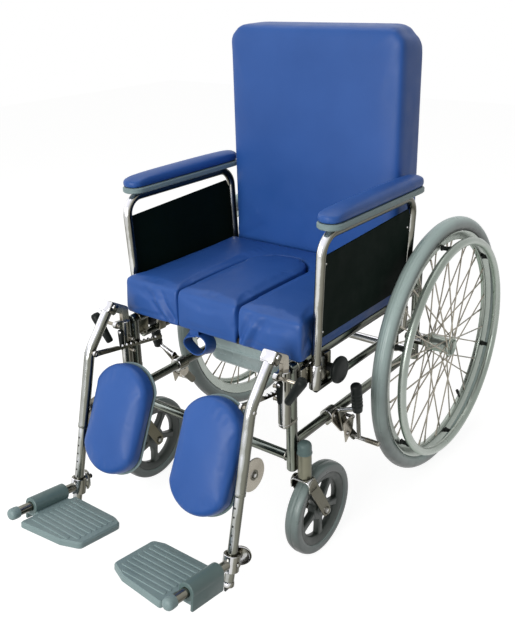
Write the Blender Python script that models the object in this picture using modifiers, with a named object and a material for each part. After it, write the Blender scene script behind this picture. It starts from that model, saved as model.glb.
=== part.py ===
"""Self-propelled commode wheelchair, an assembly of separate named pieces.

Metres, +Z up. The chair faces -Y, the sitter's left is +X, and the origin lies on the floor under the middle
of the chair. Pieces of the left side are modelled, and those of the right side are their mirror images.
"""

import math

import bmesh
import bpy
from mathutils import Matrix, Vector

# Fits and fineness
GAP = 0.0003
RUN = 0.0004
WELD = 0.00001
TUBE_SIDES = 10
FINE_SIDES = 16
WHEEL_SEGMENTS = 36
CASTER_SEGMENTS = 28

# Rear wheels
WHEEL_D = 0.610
WHEEL_OUT = 0.066
AXLE_Y = 0.2925
TYRE_W = 0.034
TYRE_H = 0.031
RIM_W = 0.024
RIM_H = 0.022
SPOKE_COUNT = 36
SPOKE_D = 0.0024
SPOKE_LEAD = math.radians(62)
SPOKE_PASS = 0.0016
HUB_BARREL_D = 0.033
HUB_FLANGE_D = 0.060
HUB_FLANGE_T = 0.009
HUB_FLANGE_SPACING = 0.044
HUB_INBOARD = 0.0405
HUB_OUTBOARD = 0.0265
AXLE_D = 0.0127
AXLE_HEAD_D = 0.022
AXLE_HEAD_T = 0.004
HANDRIM_DROP = 0.042
HANDRIM_TUBE_D = 0.019
HANDRIM_OFFSET = 0.036
STANDOFF_COUNT = 6
STANDOFF_D = 0.010
STANDOFF_PHASE = math.radians(40)

# Side frames
FRAME_INSET = 0.016
FRONT_Y = -0.2215
UPRIGHT_D = 0.0225
UPRIGHT_FOOT_Z = 0.2107
UPRIGHT_REAR_TOP = 0.502
SEAT_RAIL_D = 0.022
MID_RAIL_D = 0.016
MID_RAIL_Z = 0.377
LOW_RAIL_D = 0.0205
LOW_RAIL_BELOW = 0.034
CROSS_D = 0.0205
CROSS_Z = 0.238
AXLE_BOSS_D = 0.029
AXLE_BOSS_IN = 0.016
AXLE_BOSS_GAP = 0.001
MID_RAIL_BEND = 0.030
WELD_PLATE_DROP = 0.004
BRIDGE_W = 0.016
BRIDGE_H = 0.008
GUSSET_H = 0.038
HOUSING_WEB_W = 0.012

# Casters
CASTER_D = 0.200
CASTER_W = 0.032
CASTER_OUT = 0.0265
CASTER_Y = -0.2165
CASTER_TRAIL = 0.047
CASTER_RIM_D = 0.158
CASTER_SPOKES = 5
CASTER_SPOKE_W = 0.014
CASTER_HUB_D = 0.050
CASTER_WINDOW_D = 0.124
CASTER_AXLE_D = 0.010
HOUSING_D = 0.033
HOUSING_L = 0.053
CAP_D = 0.029
CAP_H = 0.027
STEM_D = 0.014
STEM_L = 0.040
FORK_T = 0.0035
FORK_ARM_W = 0.026
FORK_SIDE_GAP = 0.004
CROWN_T = 0.004
CROWN_SHIFT = 0.004
CASTER_AXLE_END = 0.003
CROWN_LIFT = 0.0962

# Seat
SEAT_TOP = 0.535
SEAT_HALF_W = 0.228
SEAT_FRONT_Y = -0.2225
SEAT_REAR_Y = 0.150
SEAT_CROWN = 0.007
SEAT_WING = 0.0075
SEAT_WING_L = 0.030
SEAT_CORNER = 0.014
SEAT_EDGE = 0.022
BOARD_Z = 0.4458
BOARD_T = 0.012
BOARD_SIDE_INSET = 0.0115
BOARD_INSET = 0.0105
BOARD_REAR_Y = 0.232
APERTURE_HALF_W = 0.056
APERTURE_FRONT_Y = -0.130
APERTURE_REAR_Y = 0.065
PLUG_HALF_W = 0.0785
PLUG_REAR_Y = 0.085
PLUG_GAP = 0.0025
STRAP_X = -0.036
STRAP_D = 0.066
STRAP_W = 0.028
STRAP_T = 0.003
STRAP_TAB_W = 0.024
STRAP_RELIEF = 0.002

# Commode pan and its runners
RUNNER_X = 0.1225
RUNNER_T = 0.003
RUNNER_DROP = 0.0178
RUNNER_LIP = 0.0125
RUNNER_OVER = 0.016
PAN_DEPTH = 0.105
PAN_WALL = 0.003
PAN_HALF_W = 0.105
PAN_FRONT_Y = -0.135
PAN_REAR_Y = 0.125
PAN_FLOOR_HALF_W = 0.097
PAN_FLOOR_FRONT_Y = -0.118
PAN_FLOOR_REAR_Y = 0.112
PAN_RIM_T = 0.003

# Back
BACK_FRONT_Y = 0.1525
BACK_T = 0.092
BACK_INSET = 0.0075
BACK_Z = 0.500
BACK_TOP = 1.026
BACK_CROWN = 0.006
BACK_EDGE = 0.022
BACK_CORNER = 0.010
BACK_BOARD_T = 0.012
BACK_BOARD_INSET = 0.014
POST_INSET = 0.042
POST_D = 0.022
POST_TOP = 0.970
POST_BEND = 0.060
UPPER_CROSS_Z = 0.488
CROSS_SINK = 0.0016
PUSH_BAR_Z = 0.930
PUSH_BAR_INSET = 0.022
PUSH_BAR_REACH = 0.080
PUSH_BAR_DROP = 0.030
PUSH_BAR_BEND = 0.035

# Armrests
ARM_OFFSET = 0.0234
ARM_LEAN = math.radians(2.8)
ARM_D = 0.019
ARM_FRONT_Y = -0.176
ARM_REAR_Y = 0.1745
ARM_FOOT_Z = 0.388
ARM_TOP_Z = 0.688
ARM_BEND = 0.040
SOCKET_D = 0.026
SOCKET_BELOW = 0.016
SOCKET_ABOVE = 0.044
PANEL_T = 0.003
PANEL_Z = 0.482
PANEL_H = 0.1666
PANEL_RISE = 0.0144
PANEL_CORNER = 0.009
ARM_PAD_W = 0.054
ARM_PAD_FRONT_Y = -0.172
ARM_PAD_REAR_Y = 0.190
ARM_BASE_T = 0.012
ARM_PAD_T = 0.026
KNOB_D = 0.056
KNOB_T = 0.014
KNOB_STANDOFF = 0.020
KNOB_BOSS_D = 0.018
KNOB_STUD_D = 0.008
KNOB_Y = -0.1235
KNOB_Z = 0.404
KNOB_LUG_W = 0.020
KNOB_LUG_OUT = 0.0205

# Parking brakes
BRAKE_Y = -0.085
BRAKE_RING_D = 0.031
BRAKE_RING_L = 0.030
BRAKE_PLATE_T = 0.004
BRAKE_PIVOT_Y = -0.0575
BRAKE_PIVOT_Z = 0.235
BRAKE_PIN_D = 0.008
BRAKE_EYE_D = 0.026
BRAKE_ARM_W = 0.022
BRAKE_LEVER_T = 0.005
BRAKE_LEVER_GAP = 0.003
GRIP_OUT = 0.068
GRIP_D = 0.024
GRIP_FOOT = (-0.0860, 0.300)
GRIP_TOP = (-0.0955, 0.366)
SHOE_Y = -0.0225
SHOE_Z = 0.195
SHOE_D = 0.010
SHOE_OUT = 0.086

# Legrests
LEG_OUT = 0.001
LEG_D = 0.022
HANGER_D = 0.025
HANGER_Z = 0.328
HANGER_TOP = 0.440
HINGE_PIN_D = 0.010
HINGE_PIN_DROP = 0.012
HINGE_LUG_T = 0.006
RISER_T = 0.010
RISER_W = 0.020
ELEVATE_Y = -0.2835
ELEVATE_Z = 0.486
ELEVATE_PIN_D = 0.008
CLEVIS_W = 0.032
CLEVIS_L = 0.030
CLEVIS_T = 0.027
KNEE_Y = -0.3492
KNEE_Z = 0.405
KNEE_BEND = 0.070
LEG_LEAN = math.radians(13.92)
LEG_L = 0.347
RATCHET_H = 0.010
RATCHET_T = 0.005
RATCHET_OFFSET = 0.019
RATCHET_L = 0.190
RATCHET_PIN_D = 0.008
GUIDE_Z = 0.388
GUIDE_SPREAD = 0.0135
RELEASE_Y = -0.270
RELEASE_Z = 0.437
RELEASE_SHAFT_D = 0.008
RELEASE_OUT = 0.050
RELEASE_FOOT = (0.0415, 0.0, -0.027)
RELEASE_TIP = (0.0610, -0.008, 0.015)
RELEASE_FOOT_D = 0.012
RELEASE_TIP_D = 0.026
LATCH_Z = 0.416
LATCH_L = 0.036
LATCH_W = 0.014
LATCH_T = 0.005
CALF_INSET = 0.0915
CALF_W = 0.1376
CALF_L = 0.234
CALF_SAG = 0.045
CALF_ROUND_RATIO = 0.94
CALF_LEAN = math.radians(10)
CALF_T = 0.040
CALF_PROUD = 0.0147
CALF_ALONG = 0.119
CALF_SHELL_T = 0.005
CALF_DISC_D = 0.066
CALF_DISC_T = 0.004
CALF_DISC_ALONG = 0.134
CALF_ARM_D = 0.019
FOOT_ABOVE_END = 0.049
FOOT_RISE = math.radians(8.5)
FOOT_COLLAR_D = 0.033
FOOT_COLLAR_L = 0.034
FOOT_TUBE_D = 0.019
FOOT_TUBE_L = 0.170
FOOT_CAP_D = 0.026
FOOT_CAP_L = 0.022
FOOT_CUP_D = 0.034
FOOT_CUP_W = 0.020
FOOT_CUP_BACK = 0.021
PLATE_T = 0.015
PLATE_DROP = 0.0085
PLATE_REACH = 0.168
PLATE_EDGE = 0.020
PLATE_START = 0.0255
PLATE_END = 0.167
PLATE_SLANT = 0.011
PLATE_FRONT_CHAMFER = (0.042, 0.018)
PLATE_REAR_CHAMFER = (0.0265, 0.010)
BARREL_D = 0.035
BARREL_START = 0.040
BARREL_END = 0.125
BARREL_SKIRT = 0.033
BARREL_SKIRT_T = 0.006

# Places that follow from the driving dimensions
AXLE_Z = WHEEL_D / 2
HANDRIM_D = WHEEL_D - 2 * HANDRIM_DROP
LOW_RAIL_Z = AXLE_Z - LOW_RAIL_BELOW
FRAME_X = SEAT_HALF_W - FRAME_INSET
WHEEL_X = FRAME_X + WHEEL_OUT
CASTER_X = FRAME_X + CASTER_OUT
LEG_X = FRAME_X + LEG_OUT
KNOB_LUG_X = FRAME_X + KNOB_LUG_OUT
GRIP_X = FRAME_X + GRIP_OUT
SHOE_END_X = FRAME_X + SHOE_OUT
POST_X = FRAME_X - POST_INSET
PUSH_BAR_HALF_W = POST_X - PUSH_BAR_INSET
BOARD_HALF_W = SEAT_HALF_W - BOARD_SIDE_INSET
BACK_HALF_W = SEAT_HALF_W - BACK_INSET
CALF_X = LEG_X - CALF_INSET
PLATE_INNER_X = LEG_X - PLATE_REACH
RIM_OUTER = WHEEL_D / 2 - TYRE_H - GAP
RIM_INNER = RIM_OUTER - RIM_H
SEAT_RAIL_Z = BOARD_Z - GAP - SEAT_RAIL_D / 2
SEAT_SKIRT_Z = BOARD_Z + 0.0005
BOARD_FRONT_Y = SEAT_FRONT_Y + BOARD_INSET
BACK_BOARD_Y = BACK_FRONT_Y + BACK_T + GAP
POST_Y = BACK_BOARD_Y + BACK_BOARD_T + GAP + POST_D / 2
REAR_CROSS_Y = POST_Y + (POST_D + CROSS_D) / 2 - CROSS_SINK
ARM_X = FRAME_X + ARM_OFFSET
ARM_AXIS = Vector((math.sin(ARM_LEAN), 0, math.cos(ARM_LEAN)))
CASTER_AXLE_Y = CASTER_Y + CASTER_TRAIL
CASTER_AXLE_Z = CASTER_D / 2
CROWN_Z = CASTER_AXLE_Z + CROWN_LIFT
HOUSING_Z = CROWN_Z + CROWN_T + RUN
STEM_TOP = HOUSING_Z + STEM_L
HINGE_PIN_TOP = HANGER_TOP - HINGE_PIN_DROP
HANGER_Y = FRONT_Y - UPRIGHT_D / 2 - HANGER_D / 2 - 2 * RUN
LEG_DOWN = Vector((0, -math.sin(LEG_LEAN), -math.cos(LEG_LEAN)))
LEG_BACK = Vector((0, math.cos(LEG_LEAN), -math.sin(LEG_LEAN)))
KNEE = Vector((LEG_X, KNEE_Y, KNEE_Z))
ELEVATE = Vector((LEG_X, ELEVATE_Y, ELEVATE_Z))
CALF_ARM_DROP = (CALF_DISC_ALONG - CALF_ALONG) * math.sin(CALF_LEAN)
CALF_BACK = CALF_T - CALF_PROUD + GAP + CALF_SHELL_T + 0.4 * CALF_ARM_D - CALF_ARM_DROP
CALF_PIVOT = KNEE + LEG_DOWN * CALF_DISC_ALONG + LEG_BACK * CALF_BACK
FOOT = KNEE + LEG_DOWN * (LEG_L - FOOT_ABOVE_END)
FOOT_AHEAD = Vector((0, -math.cos(FOOT_RISE), math.sin(FOOT_RISE)))
FOOT_UP = Vector((0, math.sin(FOOT_RISE), math.cos(FOOT_RISE)))
RATCHET_PIN_L = RATCHET_OFFSET + RATCHET_T / 2 + 0.003
BRAKE_LEVER_X = FRAME_X + BRAKE_RING_D / 2 + BRAKE_PLATE_T / 2 + BRAKE_LEVER_GAP
X_AXIS = Vector((1, 0, 0))
Y_AXIS = Vector((0, 1, 0))
Z_AXIS = Vector((0, 0, 1))

# Colour, roughness and metallic value of each finish
FINISHES = {
    "chrome": ((0.62, 0.62, 0.58), 0.12, 1.0),
    "aluminium": ((0.55, 0.57, 0.56), 0.35, 1.0),
    "grey_rubber": ((0.26, 0.30, 0.30), 0.65, 0.0),
    "grey_plastic": ((0.24, 0.29, 0.29), 0.50, 0.0),
    "black_plastic": ((0.012, 0.014, 0.014), 0.45, 0.0),
    "blue_vinyl": ((0.055, 0.130, 0.390), 0.48, 0.0),
    "board": ((0.20, 0.15, 0.10), 0.70, 0.0),
    "pan_plastic": ((0.70, 0.70, 0.66), 0.40, 0.0),
}

for leftover in list(bpy.data.objects):
    bpy.data.objects.remove(leftover, do_unlink=True)
PARTS = bpy.data.collections.new("commode_wheelchair")
bpy.context.scene.collection.children.link(PARTS)


# Tools: each makes one closed mesh object in world space

def link(mesh, name):
    obj = bpy.data.objects.new(name, mesh)
    PARTS.objects.link(obj)
    return obj


def from_bmesh(shape, name="piece"):
    mesh = bpy.data.meshes.new(name)
    bmesh.ops.recalc_face_normals(shape, faces=shape.faces)
    shape.to_mesh(mesh)
    shape.free()
    return link(mesh, name)


def settle(obj):
    """Replace an object by its evaluated mesh, welded and in world space."""
    bpy.context.view_layer.update()
    graph = bpy.context.evaluated_depsgraph_get()
    mesh = bpy.data.meshes.new_from_object(obj.evaluated_get(graph), depsgraph=graph)
    mesh.transform(obj.matrix_world)
    shape = bmesh.new()
    shape.from_mesh(mesh)
    bmesh.ops.remove_doubles(shape, verts=shape.verts, dist=WELD)
    bpy.data.objects.remove(obj, do_unlink=True)
    bpy.data.meshes.remove(mesh)
    return from_bmesh(shape)


def combine(base, others, operation):
    for other in others:
        step = base.modifiers.new("combine", "BOOLEAN")
        step.operation = operation
        step.object = other
    result = settle(base)
    for other in others:
        bpy.data.objects.remove(other, do_unlink=True)
    return result


def fuse(base, *others):
    return combine(base, others, "UNION")


def cut(base, *others):
    return combine(base, others, "DIFFERENCE")


def group(pieces):
    """Separate bodies in one mesh, for cutting or fusing with one operation."""
    shape = bmesh.new()
    for piece in pieces:
        shape.from_mesh(piece.data)
        bpy.data.objects.remove(piece, do_unlink=True)
    return from_bmesh(shape)


def box(low, high, turn=None, rounding=0.0):
    low, high = Vector(low), Vector(high)
    shape = bmesh.new()
    bmesh.ops.create_cube(shape, size=1.0)
    bmesh.ops.scale(shape, vec=high - low, verts=shape.verts)
    if rounding:
        bmesh.ops.bevel(shape, geom=shape.edges[:], offset=rounding, segments=2, affect="EDGES", profile=0.5)
    if turn is not None:
        bmesh.ops.rotate(shape, matrix=turn.to_3x3(), verts=shape.verts)
    bmesh.ops.translate(shape, vec=(low + high) / 2, verts=shape.verts)
    return from_bmesh(shape)


def rod(start, end, diameter, sides=TUBE_SIDES, end_diameter=None):
    start, end = Vector(start), Vector(end)
    along = end - start
    far = diameter if end_diameter is None else end_diameter
    place = Matrix.Translation((start + end) / 2) @ along.to_track_quat("Z", "Y").to_matrix().to_4x4()
    shape = bmesh.new()
    bmesh.ops.create_cone(shape, cap_ends=True, segments=sides, radius1=diameter / 2, radius2=far / 2,
                          depth=along.length, matrix=place)
    return from_bmesh(shape)


def hole(start, end, diameter, sides=TUBE_SIDES):
    """A cutter whose flats, not its corners, lie at the given diameter."""
    return rod(start, end, diameter / math.cos(math.pi / sides), sides)


def across(x_ends, y, z, diameter, make=rod):
    """A rod, or a hole's cutter, along X."""
    return make((x_ends[0], y, z), (x_ends[1], y, z), diameter)


def fore_and_aft(x, y_ends, z, diameter, make=rod):
    """A rod, or a hole's cutter, along Y."""
    return make((x, y_ends[0], z), (x, y_ends[1], z), diameter)


def upright(x, y, z_ends, diameter, make=rod):
    """A rod, or a hole's cutter, along Z."""
    return make((x, y, z_ends[0]), (x, y, z_ends[1]), diameter)


def rounded_path(points, bend, steps=4):
    """The path through the points, with an arc of the bend radius at each inner point."""
    points = [Vector(p) for p in points]
    path = [points[0]]
    for before, corner, after in zip(points, points[1:], points[2:]):
        to_before = (before - corner).normalized()
        to_after = (after - corner).normalized()
        half = to_before.angle(to_after) / 2
        bisector = (to_before + to_after).normalized()
        centre = corner + bisector * (bend / math.sin(half))
        first = corner + to_before * (bend / math.tan(half)) - centre
        last = corner + to_after * (bend / math.tan(half)) - centre
        turn = first.angle(last)
        axis = first.cross(last).normalized()
        path += [centre + Matrix.Rotation(turn * k / steps, 3, axis) @ first for k in range(steps + 1)]
    return path + [points[-1]]


def tube(points, diameter, bend=0.05, sides=TUBE_SIDES):
    path = rounded_path(points, bend)
    curve = bpy.data.curves.new("tube", "CURVE")
    curve.dimensions = "3D"
    curve.bevel_depth = diameter / 2
    curve.bevel_resolution = (sides - 4) // 2
    curve.use_fill_caps = True
    spline = curve.splines.new("POLY")
    spline.points.add(len(path) - 1)
    for point, place in zip(spline.points, path):
        point.co = (*place, 1)
    obj = bpy.data.objects.new("tube", curve)
    PARTS.objects.link(obj)
    return settle(obj)


def arc(centre, radius, start, end, count):
    return [(centre[0] + radius * math.cos(start + (end - start) * k / (count - 1)),
             centre[1] + radius * math.sin(start + (end - start) * k / (count - 1))) for k in range(count)]


def circle(centre, radius, count, phase=0.0):
    return arc(centre, radius, phase, phase + 2 * math.pi * (count - 1) / count, count)


def bar_outline(a, a_diameter, b, b_diameter, count=6):
    """The outline round two circles and the straight lines that touch both."""
    a, b = Vector(a), Vector(b)
    along = math.atan2(b.y - a.y, b.x - a.x)
    spread = math.acos((a_diameter - b_diameter) / 2 / (b - a).length)
    far = arc(b, b_diameter / 2, along - spread, along + spread, count)
    near = arc(a, a_diameter / 2, along + spread, along + 2 * math.pi - spread, count)
    return far + near


def plate(outlines, thickness, place):
    """Flat outlines, the first one outside and the rest holes, given the thickness about their plane."""
    curve = bpy.data.curves.new("plate", "CURVE")
    curve.dimensions = "2D"
    curve.fill_mode = "BOTH"
    curve.extrude = thickness / 2
    for outline in outlines:
        spline = curve.splines.new("POLY")
        spline.points.add(len(outline) - 1)
        spline.use_cyclic_u = True
        for point, (u, v) in zip(spline.points, outline):
            point.co = (u, v, 0, 1)
    obj = bpy.data.objects.new("plate", curve)
    obj.matrix_world = place
    PARTS.objects.link(obj)
    return settle(obj)


def frame_of(origin, u, v):
    """The placing of a plate whose outline runs along u and v from the origin."""
    u, v = Vector(u), Vector(v)
    matrix = Matrix((u, v, u.cross(v))).transposed().to_4x4()
    return Matrix.Translation(origin) @ matrix


def side_plane(x):
    return frame_of((x, 0, 0), Y_AXIS, Z_AXIS)


def level_plane(z):
    return frame_of((0, 0, z), X_AXIS, Y_AXIS)


def turned(profile, centre, axis, segments, closed=True, flats=False):
    """A profile of (radius, height) turned about the axis, with a flat side down where asked."""
    widen = 1 / math.cos(math.pi / segments) if flats else 1.0
    mesh = bpy.data.meshes.new("profile")
    ends = [(k, k + 1) for k in range(len(profile) - 1)]
    if closed:
        ends.append((len(profile) - 1, 0))
    mesh.from_pydata([(r * widen, 0, h) for r, h in profile], ends, [])
    obj = link(mesh, "turned")
    screw = obj.modifiers.new("turn", "SCREW")
    screw.steps = segments
    screw.render_steps = segments
    screw.use_merge_vertices = True
    screw.merge_threshold = WELD
    turn = axis.to_track_quat("Z", "Y").to_matrix().to_4x4()
    half_step = Matrix.Rotation(math.pi / segments if flats else 0.0, 4, "Z")
    obj.matrix_world = Matrix.Translation(centre) @ turn @ half_step
    return settle(obj)


def cage(low, high, cuts, reshape, levels=1, place=None):
    """A soft form: a box cut at the given places, reshaped point by point and subdivided."""
    low, high = Vector(low), Vector(high)
    shape = bmesh.new()
    bmesh.ops.create_cube(shape, size=1.0)
    bmesh.ops.scale(shape, vec=high - low, verts=shape.verts)
    bmesh.ops.translate(shape, vec=(low + high) / 2, verts=shape.verts)
    for axis, places in enumerate(cuts):
        normal = Vector((axis == 0, axis == 1, axis == 2))
        for value in places:
            everything = shape.verts[:] + shape.edges[:] + shape.faces[:]
            bmesh.ops.bisect_plane(shape, geom=everything, plane_co=normal * value, plane_no=normal)
    for vertex in shape.verts:
        vertex.co = reshape(vertex.co.copy())
    obj = from_bmesh(shape)
    if place is not None:
        obj.matrix_world = place
    soft = obj.modifiers.new("soft", "SUBSURF")
    soft.levels = levels
    soft.render_levels = levels
    return settle(obj)


def bulge(value, low, high):
    """One in the middle of a span, falling to nothing at its ends."""
    return max(0.0, 1 - ((2 * value - low - high) / (high - low)) ** 2)


def mirrored(obj):
    mesh = obj.data.copy()
    mesh.transform(Matrix.Scale(-1, 4, X_AXIS))
    mesh.flip_normals()
    return link(mesh, "mirrored")


def material(finish):
    made = bpy.data.materials.new(finish)
    made.use_nodes = True
    colour, roughness, metallic = FINISHES[finish]
    shader = made.node_tree.nodes["Principled BSDF"]
    shader.inputs["Base Color"].default_value = (*colour, 1)
    shader.inputs["Roughness"].default_value = roughness
    shader.inputs["Metallic"].default_value = metallic
    return made


def finished(obj, name, finish, parent):
    """Name a piece, give it its own material and hang it on its parent where it stands."""
    obj.name = name
    obj.data.name = name
    obj.data.materials.clear()
    obj.data.materials.append(material(finish))
    obj.data.shade_smooth()
    obj.data.set_sharp_from_angle(angle=math.radians(35))
    bpy.context.view_layer.update()
    obj.parent = parent
    obj.matrix_parent_inverse = parent.matrix_world.inverted()
    return obj


def joint_empty(name, place, axis, parent=None):
    """An empty on a joint's axis, with its own Z along the axis."""
    empty = bpy.data.objects.new(name, None)
    empty.empty_display_size = 0.03
    PARTS.objects.link(empty)
    world = Matrix.Translation(place) @ Vector(axis).to_track_quat("Z", "Y").to_matrix().to_4x4()
    empty.matrix_world = world
    bpy.context.view_layer.update()
    if parent is not None:
        empty.parent = parent
        empty.matrix_parent_inverse = parent.matrix_world.inverted()
    return empty


# Frame

def arm_point(y, z):
    """The centre of an armrest post at a height: the posts lean outwards."""
    return Vector((ARM_X + (z - MID_RAIL_Z) * math.tan(ARM_LEAN), y, z))


def arm_sockets():
    """The two sockets of an armrest's posts, and the cutters of their blind bores."""
    sockets = []
    bores = []
    for y in (ARM_FRONT_Y, ARM_REAR_Y):
        foot = arm_point(y, ARM_FOOT_Z)
        sockets.append(rod(foot - ARM_AXIS * SOCKET_BELOW, foot + ARM_AXIS * SOCKET_ABOVE, SOCKET_D))
        bores.append(hole(foot - ARM_AXIS * GAP, foot + ARM_AXIS * 2 * SOCKET_ABOVE, ARM_D + 2 * RUN))
    return sockets, bores


def weld_plates():
    """The plates that join the sockets, the knob's nut and the caster housing to the tubes."""
    bridge_top = SEAT_RAIL_Z - WELD_PLATE_DROP
    bridge = box((FRAME_X, ARM_REAR_Y - BRIDGE_W / 2, bridge_top - BRIDGE_H),
                 (ARM_X, ARM_REAR_Y + BRIDGE_W / 2, bridge_top))
    gusset = box((FRAME_X, FRONT_Y, bridge_top - GUSSET_H), (ARM_X - SOCKET_D / 4, ARM_FRONT_Y, bridge_top))
    lug = box((FRAME_X + SEAT_RAIL_D / 2 - 0.002, KNOB_Y - KNOB_LUG_W / 2, MID_RAIL_Z - 0.004),
              (KNOB_LUG_X, KNOB_Y + KNOB_LUG_W / 2, SEAT_RAIL_Z + 0.002))
    housing_web = box((FRAME_X, CASTER_Y - HOUSING_WEB_W / 2, HOUSING_Z + 0.25 * HOUSING_L),
                      (CASTER_X, CASTER_Y + HOUSING_WEB_W / 2, HOUSING_Z + 0.9 * HOUSING_L))
    return [bridge, gusset, lug, housing_web]


def legrest_hinge():
    """The lug on the front upright and the pin that the legrest's post hangs on."""
    middle = HANGER_Z - GAP - HINGE_LUG_T / 2
    outline = bar_outline((FRAME_X, FRONT_Y), UPRIGHT_D - 0.001, (LEG_X, HANGER_Y), HANGER_D - 0.002)
    lug = plate([outline], HINGE_LUG_T, level_plane(middle))
    return [lug, upright(LEG_X, HANGER_Y, (middle, HINGE_PIN_TOP), HINGE_PIN_D)]


def side_frame():
    seat_rail = fore_and_aft(FRAME_X, (FRONT_Y - 0.008, AXLE_Y), SEAT_RAIL_Z, SEAT_RAIL_D)
    tubes = [upright(FRAME_X, FRONT_Y, (UPRIGHT_FOOT_Z, SEAT_RAIL_Z), UPRIGHT_D),
             upright(FRAME_X, AXLE_Y, (LOW_RAIL_Z - LOW_RAIL_D, UPRIGHT_REAR_TOP), UPRIGHT_D),
             fore_and_aft(FRAME_X, (FRONT_Y, AXLE_Y), LOW_RAIL_Z, LOW_RAIL_D),
             tube([(ARM_X, ARM_FRONT_Y, MID_RAIL_Z), (ARM_X, AXLE_Y - 2 * ARM_OFFSET, MID_RAIL_Z),
                   (FRAME_X, AXLE_Y, MID_RAIL_Z)], MID_RAIL_D, MID_RAIL_BEND)]
    sockets, bores = arm_sockets()
    housing = upright(CASTER_X, CASTER_Y, (HOUSING_Z, HOUSING_Z + HOUSING_L), HOUSING_D)
    boss_ends = (FRAME_X - AXLE_BOSS_IN, WHEEL_X - HUB_INBOARD - AXLE_BOSS_GAP)
    boss = across(boss_ends, AXLE_Y, AXLE_Z, AXLE_BOSS_D)
    bores.append(across((FRAME_X, 2 * ARM_X - FRAME_X), KNOB_Y, KNOB_Z, KNOB_STUD_D + 2 * RUN, hole))
    bores.append(upright(CASTER_X, CASTER_Y, (CROWN_Z, STEM_TOP + GAP), STEM_D + 2 * RUN, hole))
    bores.append(across((boss_ends[0] - 0.01, WHEEL_X), AXLE_Y, AXLE_Z, AXLE_D + 2 * RUN, hole))
    whole = fuse(seat_rail, *tubes, *sockets, *weld_plates(), housing, boss, *legrest_hinge())
    return cut(whole, *bores)


def front_cross_tube():
    reach = FRAME_X - UPRIGHT_D / 2 - GAP
    return across((-reach, reach), FRONT_Y, CROSS_Z, CROSS_D)


def back_frame():
    reach = FRAME_X - UPRIGHT_D / 2 - GAP
    posts = tube([(-POST_X, POST_Y, LOW_RAIL_Z), (-POST_X, POST_Y, POST_TOP), (POST_X, POST_Y, POST_TOP),
                  (POST_X, POST_Y, LOW_RAIL_Z)], POST_D, POST_BEND)
    crosses = [across((-reach, reach), REAR_CROSS_Y, z, CROSS_D) for z in (LOW_RAIL_Z, UPPER_CROSS_Z)]
    back = POST_Y + PUSH_BAR_REACH
    push_bar = tube([(-POST_X, POST_Y, PUSH_BAR_Z - PUSH_BAR_DROP), (-PUSH_BAR_HALF_W, back, PUSH_BAR_Z),
                     (PUSH_BAR_HALF_W, back, PUSH_BAR_Z), (POST_X, POST_Y, PUSH_BAR_Z - PUSH_BAR_DROP)],
                    POST_D, PUSH_BAR_BEND)
    return fuse(posts, *crosses, push_bar)


# Seat, pan and back

def plug_outline(margin):
    half = PLUG_HALF_W + margin
    turn_y = PLUG_REAR_Y - PLUG_HALF_W
    front = SEAT_FRONT_Y - 0.05
    return [(-half, front), (half, front)] + arc((0, turn_y), half, 0, math.pi, 13)


def plug_block(margin):
    height = SEAT_TOP + 0.1
    return plate([plug_outline(margin)], height, level_plane(height / 2))


def board_space():
    half = BOARD_HALF_W + GAP
    return box((-half, BOARD_FRONT_Y - GAP, 0), (half, BOARD_REAR_Y, BOARD_Z + BOARD_T + GAP))


def seat_form():
    low = Vector((-SEAT_HALF_W, SEAT_FRONT_Y, SEAT_SKIRT_Z))
    high = Vector((SEAT_HALF_W, SEAT_REAR_Y, SEAT_TOP))
    wing_y = SEAT_FRONT_Y + SEAT_WING_L
    inner_x = SEAT_HALF_W - SEAT_CORNER
    wide_x = 0.45 * SEAT_HALF_W

    def reshape(p):
        crown = bulge(p.x, low.x, high.x) * bulge(p.y, low.y, high.y)
        if p.z > high.z - 0.001:
            p.z += SEAT_CROWN * (crown - 0.6)
        if abs(p.x) > inner_x - 0.001 and p.y < wing_y - 0.001:
            p.x += math.copysign(SEAT_WING, p.x)
        return p

    cuts = ([-inner_x, -wide_x, 0.0, wide_x, inner_x],
            [SEAT_FRONT_Y + SEAT_CORNER, wing_y, -0.08, 0.03, SEAT_REAR_Y - SEAT_EDGE],
            [SEAT_SKIRT_Z + 0.012, SEAT_TOP - SEAT_EDGE])
    return cage(low, high, cuts, reshape)


def seat_cushion():
    return cut(seat_form(), plug_block(PLUG_GAP), board_space())


def strap_rear_y():
    return SEAT_FRONT_Y + 0.003 + STRAP_W


def pull_strap():
    """The vinyl loop under the front lip of the plug, with the tab that it hangs from."""
    lip_y = (SEAT_FRONT_Y + BOARD_FRONT_Y) / 2
    top = SEAT_SKIRT_Z - 0.012
    outer = STRAP_D / 2
    half = STRAP_W / 2
    ring = [(outer, half), (outer, -half), (outer - STRAP_T, -half), (outer - STRAP_T, half)]
    centre = Vector((STRAP_X, strap_rear_y() - STRAP_W / 2, top - outer))
    loop = turned(ring, centre, Y_AXIS, FINE_SIDES)
    tab = box((STRAP_X - STRAP_TAB_W / 2, lip_y - 0.0015, top - 2.2 * STRAP_T),
              (STRAP_X + STRAP_TAB_W / 2, lip_y + 0.0015, SEAT_SKIRT_Z + 0.012))
    return fuse(loop, tab)


def seat_plug():
    body = combine(seat_form(), [plug_block(0)], "INTERSECT")
    return fuse(cut(body, board_space()), pull_strap())


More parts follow.
